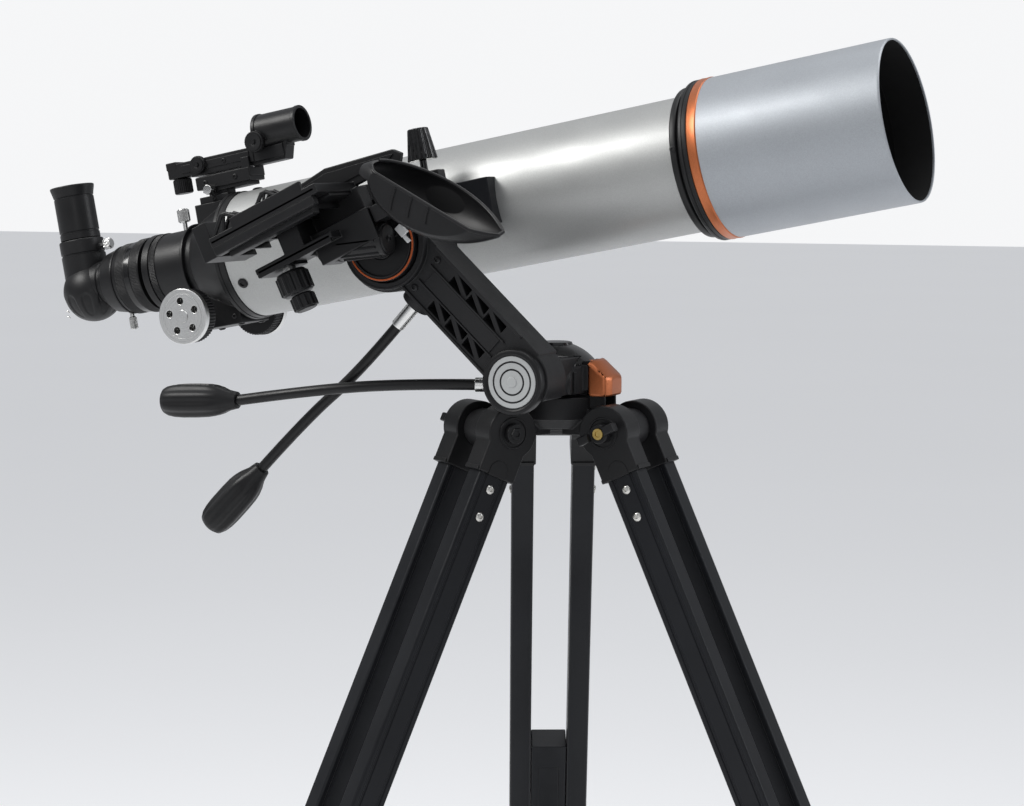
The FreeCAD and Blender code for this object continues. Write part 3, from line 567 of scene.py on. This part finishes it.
def optical_tube():
    tube = Shape()
    tube.lathe(ring_profile(-315, 120, 55, 53.5), ALONG_X, 0.3, 0, 128, True)
    for face in tube.mesh.faces:
        centre = face.calc_center_median()
        face.material_index = 1 if math.hypot(centre.y, centre.z) < 54.2 else 0
    for station in (-230, -110, 10):
        tube.lathe(ring_profile(station, station + 1.5, 53.5, 47), ALONG_X, 0.3, 1, 96, True)
    tube.done("tube_shell", "telescope", ["tube_paint", "flock_black"], TUBE, ["main_tube"])

    shield = Shape()
    outline = [(132.6, 63.2), (132.6, 64.4), (133.0, 64.7), (281.4, 64.7), (282.6, 64.5), (283.2, 64.0),
               (283.2, 63.4), (282.8, 63.0), (281.6, 63.2)]
    shield.lathe(outline, ALONG_X, 0, 0, 144, True)
    for station in (160, 190, 220, 250):
        shield.lathe(ring_profile(station, station + 1, 63.3, 62.6), ALONG_X, 0.2, 1, 96, True)
    for face in shield.mesh.faces:
        centre = face.calc_center_median()
        face.material_index = 1 if math.hypot(centre.y, centre.z) < 63.35 and centre.x < 282 else 0
    shield.done("dew_shield_shell", "telescope", ["shield_paint", "flock_black"], TUBE, ["dew_shield"])

    cell = Shape()
    outline = [(108, 55), (108, 59.6), (108.6, 60.6), (109.6, 61), (112.4, 61), (113.4, 60.6),
               (114, 59.6), (114.2, 58.4), (116.2, 58.2), (117, 59), (117, 63.6), (117.6, 64.6),
               (118.6, 65), (120.2, 65), (120.6, 64.4), (121.4, 64.4), (121.8, 65), (123.4, 65),
               (124.2, 64.8), (124.6, 64.2), (124.6, 63.2), (134.6, 63.2), (134.6, 51.2),
               (120, 51.2), (120, 55)]
    cell.lathe(outline, ALONG_X, 0, 0, 128, True)
    retainer = [(128.4, 51.2), (128.4, 48.6), (132.6, 47.6), (133.4, 48.2), (133.4, 51.2)]
    cell.lathe(retainer, ALONG_X, 0, 0, 96, True)
    for step in range(6):
        y, z = polar(49.8, 30 + 60 * step)
        for side in (-1.6, 1.6):
            cell.box((133.0, 133.9), (y - 0.5, y + 0.5), (z + side - 0.4, z + side + 0.4), 0.1)
    cell.done("objective_cell_shape", "telescope", ["satin_black"], TUBE, ["objective_cell"])
    trim = [(124.6, 63.2), (124.6, 64.6), (125.4, 65.3), (127.6, 65.1), (129.6, 65.1), (131.8, 65.3),
            (132.6, 64.6), (132.6, 63.2)]
    ring = Shape().lathe(trim, ALONG_X, 0, 0, 128, True)
    ring.done("trim_ring", "telescope", ["copper"], TUBE, ["copper_ring"])

    screws = Shape()
    for degrees in (-28, 92, 212):
        y, z = polar(55, degrees)
        screws.screw(along((0, -y, z), (-304, -y, z)), 4.6, 1.7)
    for degrees in (10, 130, 250):
        y, z = polar(61, degrees)
        screws.screw(along((0, -y, z), (111, -y, z)), 2.6, 0.9)
    screws.done("tube_screws", "telescope", ["satin_black"], TUBE)


def focuser():
    body = softened("focuser_body", 0.8)
    body.name = "focuser_casting"
    extra = Shape()
    extra.lathe(ring_profile(-414.6, -408, 34.2, 32.6), ALONG_X, 0.5, 0, 96, True)
    extra.gear(33.8, 0.35, 160, -407, -401, ALONG_X)
    extra.lathe(ring_profile(-372, -369.5, 36.6, 32.8), ALONG_X, 0.5, 0, 96, True)
    extra.lathe(ring_profile(-324.6, -321, 56.6, 55), ALONG_X, 0.5, 0, 96, True)
    for x in (-374, -332):
        for y in (-17, 17):
            extra.screw(along((0, 0, -1), (x, y, -58)), 3, 1.4)
    for x in (-372, -334):
        for z in (-51, -27):
            for side in (-1, 1):
                extra.screw(along((0, side, 0), (x, side * 23, z)), 2.3, 1)
    extra.done("focuser_rings", "telescope", ["satin_black"], TUBE)

    softened("drawtube", 0.5)
    knurl = Shape()
    for low, high, radius in ((-428, -420.2, 33.3), (-445.6, -437, 31.8)):
        knurl.gear(radius, 0.35, 160, low, high, ALONG_X, 0, 0.1)
    knurl.lathe(ring_profile(-435.6, -430, 32, 30), ALONG_X, 0.4, 1, 96, True)
    knurl.lathe(ring_profile(-452, -450, 30.9, 28), ALONG_X, 0.4, 0, 96, True)
    knurl.done("drawtube_knurls", "focus_tube", ["satin_black", "gloss_black"], TUBE)

    softened("focus_knobs", 0.5, ["satin_black", "brushed_knob"],
             lambda point, normal: 1 if abs(point.y) > 62.3 else 0, TUBE)
    softened("focus_axle", 0.4, ["bright_steel"])
    drums = Shape()
    for side in (-1, 1):
        place = along((0, side, 0), (-358, side * 50, -45))
        drums.gear(23.4, 1.0, 54, 1, 11.4, place, 0, 0.25)
        drums.lathe([(18, 0), (18, 5.6), (18.7, 5.2), (18.7, 0)], place, 0, 1, 40)
        drums.lathe(ring_profile(17.9, 18.35, 19.6, 19.0), place, 0.1, 1, 64, True)
    drums.done("focus_drums", "focus_drive", ["grip_rubber", "brushed_knob"], TUBE)

    for node, at, way, radius, length, stem in (
            ("focuser_lock_screw", (-383, 0, 26), (0, 0, 1), 5.5, 12, 14),
            ("diagonal_lock_screw", (-455, 0, -17), (0, 0, -1), 3.6, 12, 16),
            ("eyepiece_lock_screw", (-478.5, 0, 36), (1, 0, 0), 5, 8, 7)):
        screw = Shape()
        screw.lathe([(0, 0), (0, 1.7), (0.4, 2), (stem, 2)], slot=0, sides=24)
        screw.gear(radius, 0.45, 26, stem + 1, stem + length - 1, bevel=0.15)
        top = stem + length
        screw.lathe([(stem, 0), (stem, radius - 1), (stem + 1.2, radius - 0.5),
                     (top - 1.2, radius - 0.5), (top, radius - 1.3), (top, 0)], sides=40)
        screw.done(node + "_turned", node.replace("_screw", ""), ["bright_steel"],
                   TUBE @ along(way, at), [node])


def ball_profile(radius, centre, low, high, count):
    """(height, radius) pairs of a sphere between two heights."""
    start, end = math.asin(max(-1, (low - centre) / radius)), math.asin(min(1, (high - centre) / radius))
    angles = [start + (end - start) * n / count for n in range(count + 1)]
    return [(centre + radius * math.sin(a), max(0.0, radius * math.cos(a))) for a in angles]


def diagonal_and_eyepiece():
    elbow = Shape()

    def pads(angle, height):
        """Ten oval grip hollows round the lower half of the elbow."""
        across = ((angle * 10 / (2 * math.pi) + 0.5) % 1 - 0.5) / 0.33
        up = (height + 12) / 10.5
        inside = max(0.0, 1 - across ** 2 - up ** 4)
        return 1 - 0.045 * min(1.0, inside * 3)

    outline = ball_profile(27, 0, -27, 26.9, 64)
    outline[0] = (-27, 0)
    elbow.lathe(outline, shift(-492, 0, -4), 0, 0, 200, False, pads)
    neck = [(10, 0), (10, 20), (30, 20), (30.6, 19.2), (31.6, 19.2), (32.2, 20), (43, 20),
            (44, 19.2), (44, 16.2), (20, 16.2), (20, 0)]
    elbow.lathe(neck, shift(-496, 0, 0), 0, 0, 96)
    collar = [(-20, 0), (-20, 22), (3, 22), (4, 21.4), (4.6, 20.4), (6.4, 20.4), (7, 21.4),
              (8, 22), (11.8, 22), (12.6, 21.2), (12.6, 13.5), (0, 13.5), (0, 0)]
    elbow.lathe(collar, shift(-478, 0, 0) @ ALONG_X, 0, 0, 96)
    elbow.done("diagonal_elbow", "diagonal", ["satin_black", "bright_steel"], TUBE, ["star_diagonal"], 50)
    nose = Shape().lathe(ring_profile(-465, -438, 15.87, 13.5), ALONG_X, 0.4, 0, 72, True)
    nose.done("diagonal_nose", "diagonal", ["bright_steel"], TUBE)
    screws = Shape()
    for degrees in (25, 155, 205, 335):
        y, z = polar(16.5, degrees)
        screws.screw(along((-0.75, y * 0.02, -0.66), (-512.5, y, -20.5 + z * 0.35)), 1.8, 0.8)
    screws.done("diagonal_screws", "diagonal", ["screw_steel"], TUBE)

    ocular = Shape()
    barrel = [(18.5, 12), (18.5, 15.2), (19.1, 15.87), (30, 15.87), (30.3, 15.5), (33, 15.5),
              (33.3, 15.87), (44.4, 15.87), (44.4, 12)]
    ocular.lathe(barrel, Matrix(), 0, 1, 72, True)
    body = [(44.4, 10), (44.4, 17.2), (45, 18), (50, 18), (50.5, 17.4), (51.5, 17.4), (52, 18), (82.4, 18),
            (82.8, 17.5), (83.6, 17.5), (84, 18), (86, 18.4), (91, 19.7), (92.6, 20), (93.4, 19.6),
            (93.4, 16.4), (92.8, 15.6), (87.4, 8), (87.4, 0)]
    ocular.lathe([(44.4, 0)] + body[1:], Matrix(), 0, 0, 96)
    ocular.lathe([(87.2, 0), (87.2, 8), (87.9, 8), (88.6, 5), (88.9, 0)], Matrix(), 0, 2, 48)
    ocular.done("eyepiece_turned", "ocular", ["satin_black", "bright_steel", "tinted_glass"],
                TUBE @ shift(-496, 0, 0), ["eyepiece"], 30)


def finder():
    softened("finder_bracket", 0.6)
    softened("finder_sight", 0.7)
    extra = Shape()
    for y, z, x, radius in ((-13.5, 86, -352, 7.5), (-19, 94, -288, 9)):
        place = along((0, -1, 0), (x, y + 0.2, z))
        extra.lathe([(0, 0), (0, radius * 0.8), (1, radius * 0.86), (1, radius * 0.5), (0.4, radius * 0.3),
                     (0.4, 2), (1.4, 1.8), (1.4, 0)], place, 0, 0, 48)
        extra.gear(radius + 0.4, 0.5, 30, -4.4, -0.6, place, 0, 0.15)
    extra.gear(8.4, 0.5, 30, 0.8, 12.2, shift(-378, 0, 65), 0, 0.15)
    for x in (-346, -326):
        extra.screw(along((0, -1, 0), (x, -10.2, 85)), 2.1, 0.9)
    extra.box((-386, -296), (-9.4, 9.4), (78.6, 91.4), 0.9)
    extra.box((-371, -300), (-10.2, 10.2), (81.4, 88.6), 0.7)
    extra.box((-386.6, -376), (-9.8, 9.8), (86.4, 93.2), 0.9)
    extra.box((-362, -303), (-9.4, 9.4), (76.6, 80), 0.6)
    extra.lathe(ring_profile(-291, -287.5, 15.9, 13), shift(0, 0, 103) @ ALONG_X, 0.5, 0, 64, True)
    extra.lathe(ring_profile(-250.5, -247.2, 15.7, 13.2), shift(0, 0, 103) @ ALONG_X, 0.5, 0, 64, True)
    extra.prism([(-300, 75), (-266, 75), (-262, 89), (-300, 89)], -7.2, 7.2, 0.8, 0, FRONT)
    window = [(0, 0), (0, 12.9), (0.8, 12.9), (1.4, 8), (1.7, 0)]
    extra.lathe(window, shift(-284, 0, 103) @ ALONG_X, 0, 1, 48)
    extra.done("finder_details", "finder", ["satin_black", "tinted_glass"], TUBE)
    mount = Shape().box((-357, -301), (-12.5, 12.5), (63.4, 74.8), 0.9)
    mount.box((-352, -306), (-10.8, 10.8), (60.4, 64), 0.6)
    for x in (-347, -316):
        mount.screw(along((0, -1, 0), (x, -12.5, 69)), 2.4, 1.1)
    mount.screw(along((0, -1, 0), (-341, -12, 54)), 2.2, 1.0)
    thumb = [(0, 0), (0, 4), (1, 4.4), (8, 4.4), (9, 4), (9, 0)]
    mount.lathe(thumb, along((0, -1, 0), (-341, -12.4, 62)), 0.3, 1, 32)
    mount.done("finder_mount_screws", "telescope", ["satin_black", "bright_steel"], TUBE)


def saddle():
    softened("dovetail_bar", 0.6)
    softened("altitude_saddle", 0.8)
    softened("dovetail_knob", 0.8, ["gloss_black"], smooth=55)


optical_tube()
focuser()
diagonal_and_eyepiece()
finder()
saddle()


# ---- arm and head ----

def support_arm():
    softened("support_arm", 0.9, ["cast_black"])
    face = 34
    rails = Shape()
    for low, high in ((-16, -13.6), (27.6, 30)):
        rails.box((34, ARM_REACH - 20), (low, high), (face - 1, face + 1.6), 0.6)
    rails.box((46, 124), (0.5, 14.5), (face - 1, face + 1.0), 0.6)
    for low, high in ((-1.2, 0.2), (14.8, 16.2)):
        rails.box((40, 128), (low, high), (face - 1, face + 1.8), 0.4)
    rails.lathe(ring_profile(face, face + 5.4, 36.7, 34.6), Matrix(), 0.6, 0, 96, True)
    for at in ((42, 22), (42, -8)):
        rails.screw(shift(*at, face), 3.0, 1.8)
    rails.lathe([(face - 1, 0), (face - 1, 25.6), (face + 5, 25.6), (face + 6.4, 24.6), (face + 6.4, 0)],
                shift(ARM_REACH, 0, 0), 0, 0, 96)
    rails.done("arm_rails", "head", ["cast_black"], ARM)

    cap = Shape()
    cap.lathe([(33, 0), (33, 26), (39.2, 26), (41, 25.2), (41.5, 24), (41.5, 22.6), (40.6, 21.4),
               (39.2, 21), (39.2, 0)], slot=0, sides=128)
    disc = [(39, 0), (39, 20.6), (40.2, 20.6), (40.6, 20.1)]
    for low, high in ((15.4, 16.4), (9.4, 10.4)):
        disc += [(40.6, high + 0.3), (39.9, high), (39.9, low), (40.6, low - 0.3)]
    disc += [(40.6, 4.4), (41.2, 3.8), (41.3, 0)]
    cap.lathe(disc, slot=1, sides=128)
    cap.done("arm_cap_disc", "head", ["satin_black", "cap_grey"],
             ARM @ shift(ARM_REACH, 0, 0), ["arm_cap"], 30)


def azimuth_head():
    softened("azimuth_casting", 0.9, ["cast_black"])
    softened("azimuth_dome", 0.8, ["gloss_black"])
    softened("copper_block", 2.2, ["copper"])
    softened("azimuth_post", 0.4)
    softened("azimuth_worm", 0.5)
    softened("altitude_worm", 0.5)
    ribs = Shape()
    for degrees in (200, 220, 320, 338, 40, 60, 80, 100, 120, 140, 160):
        place = turn("Z", degrees)
        ribs.prism([(30, 938), (36.8, 938), (36.8, 954), (33, 957.4), (30, 957.4)], -1.2, 1.2, 0.4, 0,
                   place @ UPRIGHT)
    ribs.lathe(ring_profile(956.6, 959.0, 36.2, 33.4), Matrix(), 0.6, 0, 96, True)
    for y in (-12, 12):
        ribs.box((30, 37.5), (y - 1.4, y + 1.4), (941, 963), 0.5)
    ribs.lathe([(974.4, 0), (974.4, 14), (976.6, 13), (977.0, 11.6), (977.0, 0)], Matrix(), 0, 1, 64)
    ribs.done("head_ribs", "head", ["cast_black", "gloss_black"], MM)


support_arm()
azimuth_head()


# ---- phone dock ----

def phone_dock():
    softened("dock_frame", 0.9, ["satin_black"])
    softened("dock_jaw", 0.8, ["satin_black"])
    softened("dock_hood", 0.5, ["satin_black"], smooth=50)
    extra = Shape()
    extra.lathe(ring_profile(95.2, 96.3, 29.4, 28.0), along((0, -1, 0)), 0.3, 1, 96, True)
    extra.lathe(ring_profile(95.0, 97.2, 27.2, 25.4), along((0, -1, 0)), 0.5, 0, 96, True)
    barrel = shift(-40, -111, 16) @ turn("Y", 18) @ ALONG_X
    for step in range(14):
        y, z = polar(12.9, 360 / 14 * step)
        extra.box((z - 1.1, z + 1.1), (y - 1.1, y + 1.1), (19, 53), 0.5, 0, barrel)
    extra.lathe([(-1, 0), (-1, 12.2), (0.4, 13.8), (15, 13.8), (16.4, 12.6), (16.4, 0)], barrel, 0.3, 0, 72)
    extra.lathe([(57, 0), (57, 12.2), (59.2, 11), (59.2, 0)], barrel, 0.3, 0, 72)
    extra.screw(barrel @ shift(0, 0, 59), 3.2, 1.6)
    extra.lathe([(-26, 0), (-26, 4), (-24, 5), (-8, 7), (0, 10), (0, 0)], barrel, 0.3, 0, 48)
    for foot, top, end in ((-99, -84, -66), (-60, -43, -28)):
        for y in (-163, -150):
            extra.rod([(foot, y, 53), (top - 2, y, 65.4), (top + 2, y, 65.4), (end, y, 53)], 1.7, 0, 10)
            extra.rod([(foot + 10, y, 53), (top, y, 64)], 1.2, 0, 8)
        extra.rod([(top, -163, 65.4), (top, -150, 65.4)], 1.6, 0, 10)
    extra.box((-104, -4), (-165, -156), (37.6, 46), 1.8)
    extra.box((-96, -12), (-157, -146), (33.6, 45.6), 1.4)
    extra.box((-103, 1), (-146, -97), (42.6, 45.4), 0.8)
    for x in (-92, -74, -34, -14):
        extra.box((x - 1.1, x + 1.1), (-148, -98), (38, 43), 0.5)
    extra.box((-103, 0), (-165, -162.6), (47.6, 50.4), 0.7)
    for x in (-80, -30):
        for y in (-136, -104):
            extra.screw(along((0, 0, -1), (x, y, 14)), 2.6, 1.3)
    extra.box((-88, -16), (-140, -137.4), (11, 17), 0.6)
    extra.box((-90, -62), (-139, -104), (11.4, 14.4), 0.7)
    stop = [(-72, 56), (40, 56), (44, 58), (38, 59.6), (-19, 70), (-60, 67), (-72, 61)]
    extra.prism(stop, 101.6, 103, 0.5, 0, UPRIGHT)
    extra.prism([(-50, 60), (-30, 61), (-29, 65), (-51, 64)], 102.6, 104, 0.6, 0, UPRIGHT)
    extra.done("dock_details", "telescope", ["satin_black", "orange_trim"], DOCK)

    lean = shift(23, 0, 1.5) @ turn("Y", -20)
    tab = Shape().box((-3.6, 3.6), (-99.4, -95.4), (-4.6, 5), 0.8, 0, lean)
    tab.box((-3.4, 0), (-98.6, -95.4), (-11, -4.6), 0.6, 0, lean)
    tab.done("dock_lock_tab", "telescope", ["white_tab"], DOCK)

    side = Shape()
    side.lathe([(8, 0), (8, 3.2), (8.3, 3.5), (22, 3.5), (22, 0)], sides=32, slot=1)
    side.lathe([(9.4, 0), (9.4, 6), (12.6, 6), (13, 5.6), (13, 0)], sides=40, slot=1)
    side.gear(14, 1.7, 14, -9, 6, bevel=0.5)
    side.lathe([(-10.4, 0), (-10.4, 11.4), (-8.8, 12.8), (6, 12.8), (8.2, 11.6), (8.6, 10), (8.6, 0)],
               sides=64)
    side.done("dock_side_grip", "side_adjuster", ["satin_black", "bright_steel"],
              DOCK @ shift(-71.6, -120, 0), ["dock_side_knob"])
    fine = Shape()
    fine.gear(10.5, 1.4, 12, -23.4, -13, bevel=0.4)
    fine.lathe([(-24.6, 0), (-24.6, 8), (-23.2, 9.4), (-13, 9.4), (-11.7, 8.2), (-11.7, 0)], sides=56)
    fine.done("dock_fine_grip", "fine_adjuster", ["satin_black"],
              DOCK @ shift(-70, -120, 0), ["dock_fine_knob"])
    hood_details()


HOOD_START, HOOD_END, HOOD_HALF, HOOD_NOSE = Vector((0, -124, 59)), Vector((120, -124, 12)), 28, 5
HOOD_TILT, HOOD_PITCH, HOOD_LIFT, HOOD_SIDES = 22, 6, 5, (-16, 26.5)


def hood_details():
    """Bead along the hood's open edge and shallow fins on its flat near side."""
    run = HOOD_END - HOOD_START
    length = run.length
    place = MM @ shift(*PIVOT) @ shift(*HOOD_START) @ turn("Y", math.degrees(math.atan2(-run.z, run.x)))
    sag = HOOD_HALF - HOOD_NOSE
    bow = (length ** 2 / 4 + sag ** 2) / (2 * sag)
    across = math.tan(math.radians(HOOD_TILT))
    fall = math.tan(math.radians(HOOD_PITCH)) / math.cos(math.radians(HOOD_TILT))

    def level(x, y):
        """Height of the opening's plane."""
        return HOOD_LIFT - fall * (x - length / 2) + across * y

    def edge(side):
        points = []
        for n in range(49):
            x = length * n / 48
            radius = HOOD_HALF - bow + math.sqrt(bow ** 2 - (x - length / 2) ** 2) - 1.2
            middle = level(x, 0)
            steep = 1 + across ** 2
            root = radius ** 2 * steep - middle ** 2
            if root <= 0:
                continue
            y = (side * math.sqrt(root) - across * middle) / steep
            y = min(max(y, HOOD_SIDES[0] + 1.2), HOOD_SIDES[1] - 1.2)
            points.append(Vector((x, y, level(x, y) + 0.2)))
        return points

    shape = Shape()
    near, far = edge(-1), edge(1)
    shape.rod(near + far[::-1], 1.6, 0, 10)
    for x, depth in ((40, 17), (56, 15), (72, 12)):
        top = level(x, HOOD_SIDES[0]) - 1
        points = [Vector((x + 0.05 * n * n, HOOD_SIDES[0] - 0.2, top - depth * n / 6)) for n in range(7)]
        shape.rod(points, 0.9, 0, 8)
    shape.done("dock_hood_edge", "telescope", ["satin_black"], place)


phone_dock()


# ---- tripod ----

def leg_profile(side):
    """Cross-section of one leg tube: rounded corners and shallow grooves on its faces."""
    depth, low, high, corner = 14, 16.15, 35.05, 2.2
    half, middle = (high - low) / 2, (high + low) / 2
    points = []
    for sx, sy in ((1, 1), (-1, 1), (-1, -1), (1, -1)):
        start = math.degrees(math.atan2(sy, sx)) - 45
        for step in range(4):
            angle = math.radians(start + 30 * step)
            points.append((sx * (depth - corner) + corner * math.cos(angle),
                           sy * (half - corner) + corner * math.sin(angle)))
        if sx == sy:
            edge = sy * half
            for x in ((9.5, 8.7, 7.3, 6.5) if sy > 0 else (-9.5, -8.7, -7.3, -6.5)):
                points.append((x, edge - sy * (0.9 if abs(x) in (8.7, 7.3) else 0)))
            for x in ((-6.5, -7.3, -8.7, -9.5) if sy > 0 else (6.5, 7.3, 8.7, 9.5)):
                points.append((x, edge - sy * (0.9 if abs(x) in (8.7, 7.3) else 0)))
    return [(x, y + side * middle) for x, y in points]


def leg(number):
    place, name = leg_frame(number), f"leg_{number + 1}"
    tubes = Shape()
    for side in (-1, 1):
        tubes.prism(leg_profile(side), -640, -22, 0)
    tubes.done(name + "_tube_pair", name, ["black_anodised"], place, [name + "_outer_tubes"], 30)
    softened(name + "_brackets", 1.2, ["satin_black"])
    softened(name + "_inner_leg", 0.9, ["black_anodised"])
    softened(name + "_foot", 1.2)
    softened(name + "_lock_knob", 1.2, ["satin_black"])
    softened(name + "_wing_nut", 1.0, ["satin_black"])
    softened(f"brace_arm_{number + 1}", 0.8)

    screws = Shape()
    for side in (-1, 1):
        for z in (-48, -71):
            screws.screw(along((0, side, 0), (0, side * 35.05, z)), 3.6, 1.9)
        for z in (-600, -628):
            screws.screw(along((0, side, 0), (-6, side * 37.55, z)), 3.2, 1.6)
    screws.done(name + "_tube_screws", name, ["screw_steel"], place)
    trim = Shape()
    for side in (-1, 1):
        trim.lathe([(0, 0), (0, 13), (1.2, 12.4), (1.2, 11.2), (0.5, 10.8), (0.5, 0)],
                   along((0, side, 0), (0, side * 37.3, 0)) @ shift(0, 0, 0.1), 0, 0, 48)
        arch = [polar(8.4, 180 - 180 * n / 14, (0, -32)) for n in range(15)]
        arch += [(8.4, -37.4), (-8.4, -37.4)]
        trim.prism(arch, 35.0, 38.1, 0.8, 0, turn("Z", 0 if side > 0 else 180) @ FRONT)
        for x in (-17, 17):
            low, high = sorted((x * 0.95, x * 1.07))
            trim.box((low, high), (side * 26 - 10, side * 26 + 10), (-37, -33.6), 0.6)
    trim.done(name + "_ear_trim", name, ["satin_black"], place)
    core = Shape().lathe([(0, 0), (0, 4.6), (1.0, 4.4), (1.0, 2.4), (0.2, 2.0), (0.2, 0)],
                         along((0, -1, 0), (0, -46, 0)), 0, 0, 32)
    core.done(name + "_nut_core", name + "_nut", ["brass"], place)


def tripod():
    softened("tripod_hub", 1.0, ["cast_black"])
    softened("leg_pivot_bolts", 0.7, ["satin_black"])
    softened("brace_hub", 0.8, ["satin_black"])
    sockets = Shape()
    for number in range(3):
        place = turn("Z", LEG_ANGLE + 120 * number) @ LEG_PIVOT
        sockets.lathe([(42.8, 0), (42.8, 5.4), (44.0, 4.8), (44.0, 2.6), (43.2, 2.2), (43.2, 0)],
                      place @ along((0, 1, 0)), 0, 0, 6)
    sockets.done("bolt_sockets", "tripod", ["satin_black"], MM)
    ribs = Shape()
    for number in range(3):
        base = turn("Z", LEG_ANGLE + 120 * number)
        for side in (-1, 1):
            ribs.box((24, 50), (side * 9 - 1.2, side * 9 + 1.2), (925, 935.4), 0.5, 0, base)
            ribs.lathe(ring_profile(14.0, 14.45, 15.2, 12.2), base @ LEG_PIVOT @ along((0, side, 0)),
                       0.15, 0, 48, True)
    ribs.done("hub_ribs", "tripod", ["cast_black"], MM)
    for number in range(3):
        leg(number)


tripod()


# ---- what is still plain CAD takes its finish ----

for node_name, node_object in frame["nodes"].items():
    node_object.data.materials.clear()
    node_object.data.materials.append(material(SLOT_OF[node_name]))
    if not node_object.hide_render:
        print("still shown as CAD:", node_name)
